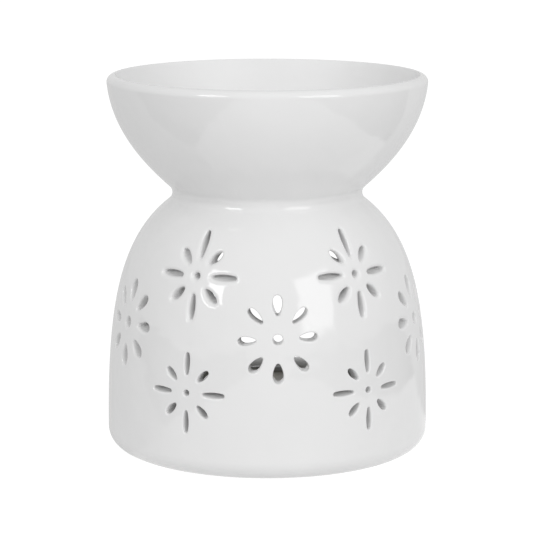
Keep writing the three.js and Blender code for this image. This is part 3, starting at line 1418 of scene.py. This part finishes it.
    def floor(self, top: float) -> Array:
        """Gives the profile from a height on the inner face down to the middle of the floor.

        Args:
            top: the height.

        Returns:
            The profile's radii and heights.
        """
        face = self.inner_face()
        centre = (self.radius - self.wall - self.floor_corner, self.floor_top + self.floor_corner)
        drop = np.array([top, (top + face.heights[0]) / 2])
        wall = np.stack([face.radius(drop), drop], axis=-1)
        corner = arc(centre, self.floor_corner, 0.0, -pi / 2, self.floor_corner_steps)
        radius = np.linspace(centre[0], 0.0, self.floor_rows)[1:, None]
        across = radius * (1.0, 0.0) + (0.0, self.floor_top)
        return np.concatenate([wall, corner, across])

    def neck_side(self, low: float) -> Array:
        """Gives the outer face's profile from a height up to the edge of the seat."""
        rise = np.linspace(low, self.neck.height, self.neck_rows)
        return np.stack([self.outer_face().radius(rise), rise], axis=-1)

    def seat(self) -> Array:
        """Gives the flat ring that the bowl is stuck on, from its outer edge to its inner one."""
        edges = (self.neck.radius, self.neck.seat_inner)
        return np.array([(edge, self.neck.height) for edge in edges])

    def throat(self, low: float) -> Array:
        """Gives the inner face's profile from the seat down to a height."""
        drop = np.linspace(self.neck.height, low, self.throat_rows)
        return np.stack([self.inner_face().radius(drop), drop], axis=-1)

    def build(self) -> Shell:
        """Makes the whole casting.

        Returns:
            The shell, closed.
        """
        outer, inner = self.outer_face(), self.inner_face()
        low, high = self.foot_corner + self.outer_start, self.neck.height - self.outer_end
        inner_low = inner.heights[0] + self.inner_start
        inner_high = self.neck.height - self.inner_end
        holes = self.holes(outer)
        outer_rows = outer.rows(low, high, self.outer_pitch)
        inner_rows = inner.rows(inner_low, inner_high, self.inner_pitch)
        parts = [
            pierced(outer, holes, outer_rows, self.columns, self.seam),
            pierced(inner, holes, inner_rows, self.columns, self.seam),
            self._lathe(self.foot(low), 0.0),
            self._lathe(self.neck_side(high), 0.0),
            # the throat, seat and floor inside the lantern are dry and greyed with painted shade
            self._lathe(self.throat(inner_high), LANTERN_COAT_AND_SHADE),
            self._lathe(self.seat(), LANTERN_COAT_AND_SHADE),
            self._lathe(self.floor(inner_low), LANTERN_COAT_AND_SHADE),
        ]
        parts += [hole.wall(outer, inner, self.lip_steps, self.hole_steps) for hole in holes]
        return Shell.joined(parts)

    def _lathe(self, path: Array, coat_and_shade: float) -> Shell:
        """Turns a profile in columns that start at the seam of the pierced faces.

        Args:
            path: the profile.
            coat_and_shade: how dry the glaze is, and how much painted shade greys it.

        Returns:
            The shell.
        """
        shell = turned(path, self.columns, coat_and_shade)
        aside, ahead = sin(self.seam), cos(self.seam)
        turn = np.array([[ahead, aside, 0.0], [-aside, ahead, 0.0], [0.0, 0.0, 1.0]])
        return Shell(shell.points @ turn, shell.normals @ turn, shell.corners, shell.coat_and_shade)


@dataclass
class WaxBowl:
    """The upper casting: a round bowl with a soft lip, stuck on the lantern's neck."""

    neck: Neck
    overall_height: float = 111.4
    rim_radius: float = 47.4
    rim_thickness: float = 3.4
    rim_lean: float = radians(5.5)
    rim_reach: float = 14.4
    lip_fall: float = 2.4  # how far below its top the rim starts to round
    lip_crest: float = 2.3  # how far in from the outer wall the rim is highest
    lip_turn: tuple[float, float] = (0.55, 0.67)  # how tightly it turns, outside and inside
    lip_inner_fall: float = 5.0
    flare_reach: float = 9.0
    wall: float = 4.6
    depth: float = 35.0
    floor_thickness: float = 5.0
    columns: int = 240
    crease_steps: int = 8
    wall_steps: int = 48
    curve_steps: int = 14  # of each half of the lip, and of the underside
    floor_steps: int = 20

    def outer_wall(self, steps: int) -> Array:
        """Gives the outer wall from the neck up to the lip.

        Args:
            steps: how many steps it takes.

        Returns:
            The profile's radii and heights.
        """
        foot = self.neck.upper(1)[-1]
        rim = np.array([self.rim_radius, self.overall_height - self.lip_fall])
        return bezier(
            [
                foot,
                foot + self.flare_reach * heading(self.neck.bowl_flare),
                rim - self.rim_reach * heading(pi / 2 - self.rim_lean),
                rim,
            ],
            steps,
        )

    def lip(self, end: Array, before: Array, turn: float) -> Array:
        """Gives half of the lip, which leaves a wall along its own slope and rises to the crest.

        It is a cubic Bezier curve whose inner controls lie part of the way to the corner where the
        wall's slope would meet the crest's level.

        Args:
            end: where the wall ends.
            before: a point of the wall shortly before that.
            turn: how far the curve reaches for the corner, where 0.55 is a round arc.

        Returns:
            The points, both ends included.
        """
        slope = (end - before) / (end - before)[1]
        corner = end + slope * (self.overall_height - end[1])
        crest = np.array([self.rim_radius - self.lip_crest, self.overall_height])
        controls = [end, end + turn * (corner - end), crest + turn * (corner - crest), crest]
        return bezier(controls, self.curve_steps)

    def build(self) -> Shell:
        """Makes the bowl from three profiles: neck to lip, lip to floor, and the underside.

        Returns:
            The shell, closed.
        """
        floor_height = self.overall_height - self.depth
        underside = floor_height - self.floor_thickness
        flare_run = 1 / tan(self.neck.bowl_flare)
        seat = np.array([self.neck.seat_inner, self.neck.height])
        outer = self.outer_wall(self.wall_steps)
        thickness = np.linspace(self.wall, self.rim_thickness, len(outer))[:, None]
        inner = (outer - thickness * right_of(outer))[::-1]
        inner = inner[inner[:, 1] < self.overall_height - self.lip_inner_fall]
        foot = inner[-1]
        under = bezier(
            [(0.0, underside), (seat[0] - (seat[1] - underside) * flare_run, underside), seat],
            self.curve_steps,
        )
        floor = bezier(
            [
                foot,
                (foot[0] - (foot[1] - floor_height) * flare_run, floor_height),
                (0.0, floor_height),
            ],
            self.floor_steps,
        )
        rise = self.lip(outer[-1], outer[-2], self.lip_turn[0])
        fall = self.lip(inner[0], inner[1], self.lip_turn[1])[::-1]
        outside = np.concatenate([self.neck.upper(self.crease_steps), outer[1:-1], rise])
        inside = np.concatenate([fall, inner[1:-1], floor])
        beneath = np.concatenate([under, [(self.neck.radius, self.neck.height)]])
        return Shell.joined(
            [
                turned(outside, self.columns),
                turned(inside, self.columns, BOWL_COAT),
                # the underside within the neck is dry and greyed with painted shade, as inside the
                # lantern
                turned(beneath, self.columns, LANTERN_COAT_AND_SHADE),
            ]
        )


@dataclass
class Tealight:
    """A tealight on the lantern's floor: cup, wax, wick and the tab that holds the wick."""

    base: float
    cup_radius: float = 19.0
    cup_taper: float = 0.5
    cup_height: float = 12.0
    cup_wall: float = 0.4
    cup_bead: float = 0.5
    base_recess: float = 0.6
    base_recess_radius: float = 14.0
    base_ring_radius: float = 9.0
    base_ring_height: float = 0.25
    headspace: float = 2.0
    meniscus: float = 0.5
    meniscus_width: float = 1.6
    wick_radius: float = 0.9
    wick_standout: float = 6.0
    wick_lean: float = 1.2
    wick_strand_pitch: float = 3.2
    tab_radius: float = 8.0
    tab_thickness: float = 0.4
    collar_height: float = 3.0
    collar_wall: float = 0.4
    gap: float = 0.3
    columns: int = 96
    bead_steps: int = 10
    base_ring_half: float = 1.0
    base_ease: float = 0.8  # how far the stamped corners of the cup are eased
    floor_ease: float = 0.4  # how far the corners inside it are eased
    edge_drop: float = 0.05
    wax_gap: float = 0.03  # between the edge of the wax's top and the cup
    wax_ease: float = 0.3
    hollow_ease: float = 0.1
    wax_rings: int = 60
    tab_ease: float = 0.15
    wick_waves: float = 1.5  # waves of each set of strands round the wick
    wick_relief: float = 0.16  # depth of the braid, as a share of the radius
    wick_rings: int = 120
    wick_columns: int = 32

    @property
    def cup_floor(self) -> float:
        """The height of the cup's floor above its base."""
        return self.base_recess + self.cup_wall

    @property
    def wax_top(self) -> float:
        """The height of the wax above the cup's base."""
        return self.cup_height - self.headspace

    def inner_radius(self, height: float) -> float:
        """Gives the cup's inner radius at a height above its base."""
        return self.cup_radius - self.cup_taper * (1 - height / self.cup_height) - self.cup_wall

    def cup(self) -> Shell:
        """Makes the cup: stamped base, tapered side and rolled edge.

        Returns:
            The shell, closed.
        """
        low = self.cup_radius - self.cup_taper
        ring = self.base_ring_radius
        bead = arc(
            (self.cup_radius, self.cup_height - self.cup_bead),
            self.cup_bead,
            -pi / 2,
            pi / 2,
            self.bead_steps,
        )
        outside = eased(
            [
                (0.0, self.base_recess),
                (ring - self.base_ring_half, self.base_recess),
                (ring, self.base_recess - self.base_ring_height),
                (ring + self.base_ring_half, self.base_recess),
                (self.base_recess_radius, self.base_recess),
                (self.base_recess_radius + self.base_recess, 0.0),
                (low, 0.0),
                tuple(bead[0]),
            ],
            self.base_ease,
        )
        inside = eased(
            [
                tuple(bead[-1]),
                (self.cup_radius - self.cup_wall, self.cup_height - self.edge_drop),
                (self.inner_radius(self.cup_floor), self.cup_floor),
                (0.0, self.cup_floor),
            ],
            self.floor_ease,
        )
        return self._standing(np.concatenate([outside, bead[1:-1], inside]))

    def wax(self) -> Shell:
        """Makes the wax, which creeps up the cup's wall and the wick as it cools.

        The top's height is the level + meniscus (exp(-(R - r) / w) + exp(-(r - r0) / w) / 2).

        Returns:
            The shell, closed.
        """
        bore = self.wick_radius + self.gap / 3
        edge = self.inner_radius(self.wax_top) - self.wax_gap
        radius = edge + (bore - edge) * np.linspace(0.0, 1.0, self.wax_rings)
        creep = np.exp((radius - edge) / self.meniscus_width)
        creep += np.exp((bore - radius) / self.meniscus_width) / 2
        top = np.stack([radius, self.wax_top + self.meniscus * creep], axis=-1)
        tab = self.tab_radius + self.gap
        tab_top = self.cup_floor + self.tab_thickness + self.gap
        collar = self.wick_radius + self.gap + self.collar_wall + self.gap
        collar_top = self.cup_floor + self.collar_height + self.gap
        low = [
            (tab, self.cup_floor),
            (self.inner_radius(self.cup_floor) - self.gap, self.cup_floor),
            tuple(top[0]),
        ]
        hollow = [
            tuple(top[-1]),
            (bore, collar_top),
            (collar, collar_top),
            (collar, tab_top),
            (tab, tab_top),
            (tab, self.cup_floor),
        ]
        side, bed = eased(low, self.wax_ease)[:-1], eased(hollow, self.hollow_ease)[1:]
        return self._standing(np.concatenate([side, top, bed]))

    def tab(self) -> Shell:
        """Makes the tab: a round plate with a crimped collar.

        Returns:
            The shell, closed.
        """
        bore = self.wick_radius + self.gap
        collar = bore + self.collar_wall
        plate = self.cup_floor + self.tab_thickness
        top = self.cup_floor + self.collar_height
        path = eased(
            [
                (bore, self.cup_floor),
                (self.tab_radius, self.cup_floor),
                (self.tab_radius, plate),
                (collar, plate),
                (collar, top),
                (bore, top),
                (bore, self.cup_floor),
            ],
            self.tab_ease,
        )
        return self._standing(path)

    def wick(self) -> Shell:
        """Makes the wick: a braid that stands straight in the wax and leans where it is free.

        Its radius is R (1 - d (1 - max(|cos(n a + k s)|, |cos(n a - k s)|))), at angle a round it
        and length s along it, with n waves, the relief d, and k set by the pitch of the strands.
        The free end leans as the square of its length.

        Returns:
            The shell, closed.
        """
        length = self.wax_top + self.wick_standout - self.cup_floor
        rings = np.linspace(0.0, length, self.wick_rings)
        along = np.concatenate([[0.0], rings, [length]])[:, None]
        angle = np.linspace(0.0, 2 * pi, self.wick_columns + 1)[None, :]
        phase = 2 * pi * along / self.wick_strand_pitch
        waves = self.wick_waves * angle
        crossing = np.maximum(np.abs(np.cos(waves + phase)), np.abs(np.cos(waves - phase)))
        radius = self.wick_radius * (1 - self.wick_relief * (1 - crossing))
        radius[0] = 0.0
        radius[-1] = 0.0
        free = np.clip((along - (length - self.wick_standout)) / self.wick_standout, 0.0, 1.0)
        lean = -self.wick_lean * free**2
        height = self.base + self.cup_floor + along * np.ones_like(angle)
        points = np.stack(
            [radius * np.sin(angle), lean - radius * np.cos(angle), height], axis=-1
        )
        around = np.roll(points[:, :-1], -1, axis=1) - np.roll(points[:, :-1], 1, axis=1)
        around = np.concatenate([around, around[:, :1]], axis=1)
        normals = unit(np.cross(around, np.gradient(points, axis=0)))
        normals[0], normals[-1] = (0.0, 0.0, -1.0), (0.0, 0.0, 1.0)
        return Shell.joined([Shell.of_grid(points, normals)])

    def _standing(self, path: Array) -> Shell:
        """Turns a profile and stands it on the lantern's floor."""
        return Shell.joined([turned(path + (0.0, self.base), self.columns)])


@dataclass(frozen=True)
class Softbox:
    """A studio lamp with a cloth front that faces the burner.

    Attributes:
        name: the lamp's name.
        azimuth: its direction from the burner, round the axis from the front.
        elevation: its height above the burner's horizon.
        width: how wide it looks from the burner, as an angle.
        height: how tall it looks from the burner, as an angle.
        radiance: how bright its cloth is in the middle, where 1 is white.
        soft: share of its width and height over which the cloth gets dark at each edge.
    """

    name: str
    azimuth: float
    elevation: float
    width: float
    height: float
    radiance: float
    soft: float


@dataclass
class Studio:
    """A pale floor, soft light and the camera at the photograph's viewing angle."""

    camera_distance: float = 700.0
    camera_azimuth: float = radians(-4.2)
    camera_elevation: float = radians(10.68)
    aim_height: float = 53.44
    pixels_per_mm: float = 3.336
    axis_right_pixels: float = 0.8  # how far right of the image's middle the axis stands
    camera_clip: tuple[float, float] = (0.01, 50.0)  # in metres
    lamp_distance: float = 1200.0
    lamp_aim: tuple[float, float, float] = (0.0, -40.0, 52.0)
    floor_half: float = 6000.0
    floor_colour: str = "#959595"
    floor_glow: float = 0.86
    floor_light: tuple[float, float] = (0.27, 0.4)  # far left, and from near left to right
    floor_light_edges: tuple[float, float] = (-190.0, -60.0)
    floor_mirrored: float = 0.08  # beyond the sheet
    sheet_mirrored: tuple[float, float] = (0.8, 0.5)  # in front of the burner, and behind it
    sheet_left: tuple[float, float] = (-85.0, -0.27)  # where an edge lies, and its slant
    sheet_right: tuple[float, float] = (151.0, 0.05)
    sheet_behind_left: tuple[float, float] = (-84.0, 0.45)
    sheet_behind_right: tuple[float, float] = (-2.0, -0.41)
    sheet_softness: float = 5.0
    backdrop_colour: str = "#ffffff"
    backdrop_glow: float = 1.0
    backdrop_mirrored: float = 0.78
    bright_azimuth: float = radians(8)  # where the soft light is brightest
    bright_elevation: float = radians(42)
    front_light: float = 0.748
    back_light: float = 0.23
    softboxes: tuple[Softbox, ...] = (
        Softbox(
            name="softbox_left",
            azimuth=radians(-47),
            elevation=radians(27),
            width=radians(16.6),
            height=radians(18),
            radiance=5.6,
            soft=0.05,
        ),
        Softbox(
            name="softbox_right",
            azimuth=radians(35),
            elevation=radians(20.5),
            width=radians(31),
            height=radians(34.5),
            radiance=2.6,
            soft=0.15,
        ),
    )

    def floor(self) -> None:
        """Lays the floor, which looks white to the camera, is mirrored and keeps the shadow."""
        half = self.floor_half * MM
        mesh = bpy.data.meshes.new("floor")
        mesh.from_pydata(
            [(-half, -half, 0), (half, -half, 0), (half, half, 0), (-half, half, 0)],
            [],
            [(0, 1, 2, 3)],
        )
        material = bpy.data.materials.new("pale_floor")
        tree = empty_tree(material)
        place = add_node(tree, "ShaderNodeTexCoord").outputs["Object"]
        axes = add_node(tree, "ShaderNodeSeparateXYZ", inputs={0: place}).outputs
        light = add_node(
            tree,
            "ShaderNodeMapRange",
            inputs={
                "Value": axes["X"],
                "From Min": self.floor_light_edges[0] * MM,
                "From Max": self.floor_light_edges[1] * MM,
                "To Min": self.floor_light[0],
                "To Max": self.floor_light[1],
            },
        ).outputs["Result"]
        sheet = self._sheet(tree, axes["X"], axes["Y"])
        strength = self._seen(tree, self.floor_glow, sheet, light)
        glow = add_node(tree, "ShaderNodeEmission", inputs={"Strength": strength})
        matt = add_node(tree, "ShaderNodeBsdfDiffuse", inputs={"Color": linear(self.floor_colour)})
        both = add_node(
            tree, "ShaderNodeAddShader", inputs={0: matt.outputs[0], 1: glow.outputs[0]}
        )
        add_node(tree, "ShaderNodeOutputMaterial", inputs={"Surface": both.outputs[0]})
        mesh.materials.append(material)
        floor = add_object("floor", mesh)

    def _sheet(
        self, tree: bpy.types.NodeTree, across: bpy.types.NodeSocket, along: bpy.types.NodeSocket
    ) -> bpy.types.NodeSocket:
        """Gives the floor's strength in reflections, where a white sheet lies on a darker floor.

        In front of the burner the sheet has a left and a right edge. It also covers all that lies
        behind two slanted edges, which meet at the left, and looks dimmer there.

        Args:
            tree: the node tree that takes the nodes.
            across: how far right of the burner a point is.
            along: how far behind the burner it is.

        Returns:
            The socket with the strength.
        """
        left = self._edge(tree, (across, along), self.sheet_left, 1.0)
        right = self._edge(tree, (across, along), self.sheet_right, -1.0)
        behind_left = self._edge(tree, (along, across), self.sheet_behind_left, 1.0)
        behind_right = self._edge(tree, (along, across), self.sheet_behind_right, 1.0)
        strength = self.floor_mirrored
        corners = ((left, right), (behind_left, behind_right))
        for (one, other), mirrored in zip(corners, self.sheet_mirrored):
            white = add_node(
                tree, "ShaderNodeMath", {"operation": "MULTIPLY"}, {0: one, 1: other}
            ).outputs[0]
            strength = add_node(
                tree,
                "ShaderNodeMix",
                {"data_type": "FLOAT"},
                {0: white, 2: strength, 3: mirrored},
            ).outputs[0]
        return strength

    def _edge(
        self,
        tree: bpy.types.NodeTree,
        place: tuple[bpy.types.NodeSocket, bpy.types.NodeSocket],
        edge: tuple[float, float],
        side: float,
    ) -> bpy.types.NodeSocket:
        """Gives 1 on one side of an edge and 0 on the other, with a soft step between.

        Args:
            tree: the node tree that takes the nodes.
            place: where a point is, across the edge and along it.
            edge: where the edge is, and how much of the second place is added to the first.
            side: 1 if the far side is the white one, -1 if the near side is.

        Returns:
            The socket with the value.
        """
        soft = side * self.sheet_softness
        slanted = add_node(
            tree,
            "ShaderNodeMath",
            {"operation": "MULTIPLY_ADD"},
            {0: place[1], 1: edge[1], 2: place[0]},
        ).outputs[0]
        return add_node(
            tree,
            "ShaderNodeMapRange",
            {"interpolation_type": "SMOOTHSTEP"},
            {
                "Value": slanted,
                "From Min": (edge[0] - soft) * MM,
                "From Max": (edge[0] + soft) * MM,
            },
        ).outputs["Result"]

    def _seen(
        self,
        tree: bpy.types.NodeTree,
        direct: float,
        mirrored: float | bpy.types.NodeSocket,
        falling: float | bpy.types.NodeSocket,
    ) -> bpy.types.NodeSocket:
        """Gives a strength that depends on how a surface is seen.

        Args:
            tree: the node tree that takes the nodes.
            direct: the strength for the camera.
            mirrored: the strength in reflections and through clear things.
            falling: the strength of the light that falls on other things.

        Returns:
            The socket with the strength.
        """
        path = add_node(tree, "ShaderNodeLightPath").outputs
        bounced = add_node(
            tree,
            "ShaderNodeMath",
            {"operation": "MAXIMUM"},
            {0: path["Is Glossy Ray"], 1: path["Is Transmission Ray"]},
        ).outputs[0]
        reflected = add_node(
            tree, "ShaderNodeMix", {"data_type": "FLOAT"}, {0: bounced, 2: falling, 3: mirrored}
        ).outputs[0]
        return add_node(
            tree,
            "ShaderNodeMix",
            {"data_type": "FLOAT"},
            {0: path["Is Camera Ray"], 2: reflected, 3: direct},
        ).outputs[0]

    def world(self) -> None:
        """Makes soft light from all round, brightest from the front, before a white backdrop."""
        world = bpy.data.worlds.new("soft_studio")
        bpy.context.scene.world = world
        tree = empty_tree(world)
        way = add_node(tree, "ShaderNodeTexCoord").outputs["Generated"]
        facing = add_node(
            tree,
            "ShaderNodeVectorMath",
            {"operation": "DOT_PRODUCT"},
            {0: way, 1: self._direction(self.bright_azimuth, self.bright_elevation)},
        ).outputs["Value"]
        level = add_node(
            tree,
            "ShaderNodeMapRange",
            {"interpolation_type": "SMOOTHSTEP"},
            {
                "Value": facing,
                "From Min": -1.0,
                "From Max": 1.0,
                "To Min": self.back_light,
                "To Max": self.front_light,
            },
        ).outputs["Result"]
        strength = self._seen(tree, self.backdrop_glow, self.backdrop_mirrored, level)
        sky = add_node(
            tree,
            "ShaderNodeBackground",
            inputs={"Color": linear(self.backdrop_colour), "Strength": strength},
        )
        add_node(tree, "ShaderNodeOutputWorld", inputs={"Surface": sky.outputs[0]})

    def lamp(self, box: Softbox) -> None:
        """Hangs one softbox: its power is pi times its area times its cloth's radiance.

        Args:
            box: the softbox.
        """
        data = bpy.data.lights.new(box.name, "AREA")
        data.shape = "RECTANGLE"
        data.size = 2 * self.lamp_distance * tan(box.width / 2) * MM
        data.size_y = 2 * self.lamp_distance * tan(box.height / 2) * MM
        data.energy = pi * data.size * data.size_y * box.radiance
        tree = empty_tree(data)
        place = add_node(tree, "ShaderNodeNewGeometry").outputs["Parametric"]
        axes = add_node(tree, "ShaderNodeSeparateXYZ", inputs={0: place}).outputs
        share = add_node(
            tree,
            "ShaderNodeMath",
            {"operation": "MULTIPLY"},
            {0: self._fade(tree, axes["X"], box.soft), 1: self._fade(tree, axes["Y"], box.soft)},
        ).outputs[0]
        cloth = add_node(tree, "ShaderNodeEmission", inputs={"Strength": share})
        add_node(tree, "ShaderNodeOutputLight", inputs={"Surface": cloth.outputs[0]})
        lamp = add_object(box.name, data)
        out = self._direction(box.azimuth, box.elevation)
        lamp.location = (Vector(self.lamp_aim) + out * self.lamp_distance) * MM
        lamp.rotation_euler = (-out).to_track_quat("-Z", "Y").to_euler()

    def _fade(
        self, tree: bpy.types.NodeTree, place: bpy.types.NodeSocket, soft: float
    ) -> bpy.types.NodeSocket:
        """Gives 1 in the middle of a cloth and 0 at its edges, with a soft step between.

        Args:
            tree: the node tree that takes the nodes.
            place: where a point is across the cloth, from 0 to 1.
            soft: share of the cloth that each step takes.

        Returns:
            The socket with the value.
        """
        half = 0.5
        off = add_node(tree, "ShaderNodeMath", {"operation": "SUBTRACT"}, {0: place, 1: half})
        away = add_node(tree, "ShaderNodeMath", {"operation": "ABSOLUTE"}, {0: off.outputs[0]})
        return add_node(
            tree,
            "ShaderNodeMapRange",
            {"interpolation_type": "SMOOTHSTEP"},
            {"Value": away.outputs[0], "From Min": half, "From Max": half - soft},
        ).outputs["Result"]

    def camera(self) -> None:
        """Sets the camera where the photograph was taken from."""
        data = bpy.data.cameras.new("photo_camera")
        data.sensor_width = SENSOR_WIDTH
        data.lens = SENSOR_WIDTH * self.pixels_per_mm * self.camera_distance / IMAGE_PIXELS
        data.clip_start, data.clip_end = self.camera_clip
        camera = add_object("photo_camera", data)
        out = self._direction(self.camera_azimuth, self.camera_elevation)
        right = Vector((cos(self.camera_azimuth), sin(self.camera_azimuth), 0.0))
        aim = Vector((0.0, 0.0, self.aim_height)) - right * (
            self.axis_right_pixels / self.pixels_per_mm
        )
        camera.location = (aim + out * self.camera_distance) * MM
        camera.rotation_euler = (-out).to_track_quat("-Z", "Y").to_euler()
        bpy.context.scene.camera = camera

    def build(self) -> None:
        """Sets up floor, light and camera."""
        self.camera()
        self.floor()
        self.world()
        for box in self.softboxes:
            self.lamp(box)
        bpy.context.scene.view_settings.view_transform = "Standard"

    def _direction(self, azimuth: float, elevation: float) -> Vector:
        """Gives the direction out from the burner: (sin a cos e, -cos a cos e, sin e).

        Args:
            azimuth: the angle a round the axis, from the front.
            elevation: the angle e above the horizon.

        Returns:
            The direction, of length one.
        """
        return Vector(
            (sin(azimuth) * cos(elevation), -cos(azimuth) * cos(elevation), sin(elevation))
        )


def place(piece: bpy.types.Object, body: str, slot: str, node: str) -> None:
    """Lets a piece stand for a CAD node on its body, and logs it.

    Args:
        piece: the piece.
        body: the CAD body that it rides on.
        slot: the record's material slot; not used.
        node: the CAD node that it replaces.
    """
    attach(piece, body)
    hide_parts(node)
    log.info("%s: %d triangles on %s", piece.name, len(piece.data.polygons), body)


def main() -> None:
    """Builds the burner and its studio."""
    logging.basicConfig(level=logging.INFO, format="%(message)s")
    Studio().build()
    neck = Neck()
    lantern = LanternBody(neck)
    bowl = WaxBowl(neck)
    tealight = Tealight(lantern.floor_top)
    glaze = WhiteGlaze().material()
    foil = PressedAluminium().material()
    wax = ParaffinWax().material()
    cotton = BraidedCotton().material()
    tin = TinnedSteel().material()
    body = lantern.build().to_object("pierced_lantern", glaze)
    place(body, "burner", "glaze", "lantern_body")
    dish = bowl.build().to_object("melt_bowl", glaze)
    place(dish, "burner", "glaze", "wax_bowl")
    cup = tealight.cup().to_object("foil_cup", foil)
    place(cup, "tealight", "cup_aluminium", "tealight_cup")
    fill = tealight.wax().to_object("poured_wax", wax)
    place(fill, "tealight", "wax", "candle_wax")
    braid = tealight.wick().to_object("braided_wick", cotton)
    place(braid, "tealight", "cotton", "wick")
    tab = tealight.tab().to_object("wick_tab", tin)
    place(tab, "tealight", "tinned_steel", "wick_sustainer")


if __name__ == "__main__":
    main()
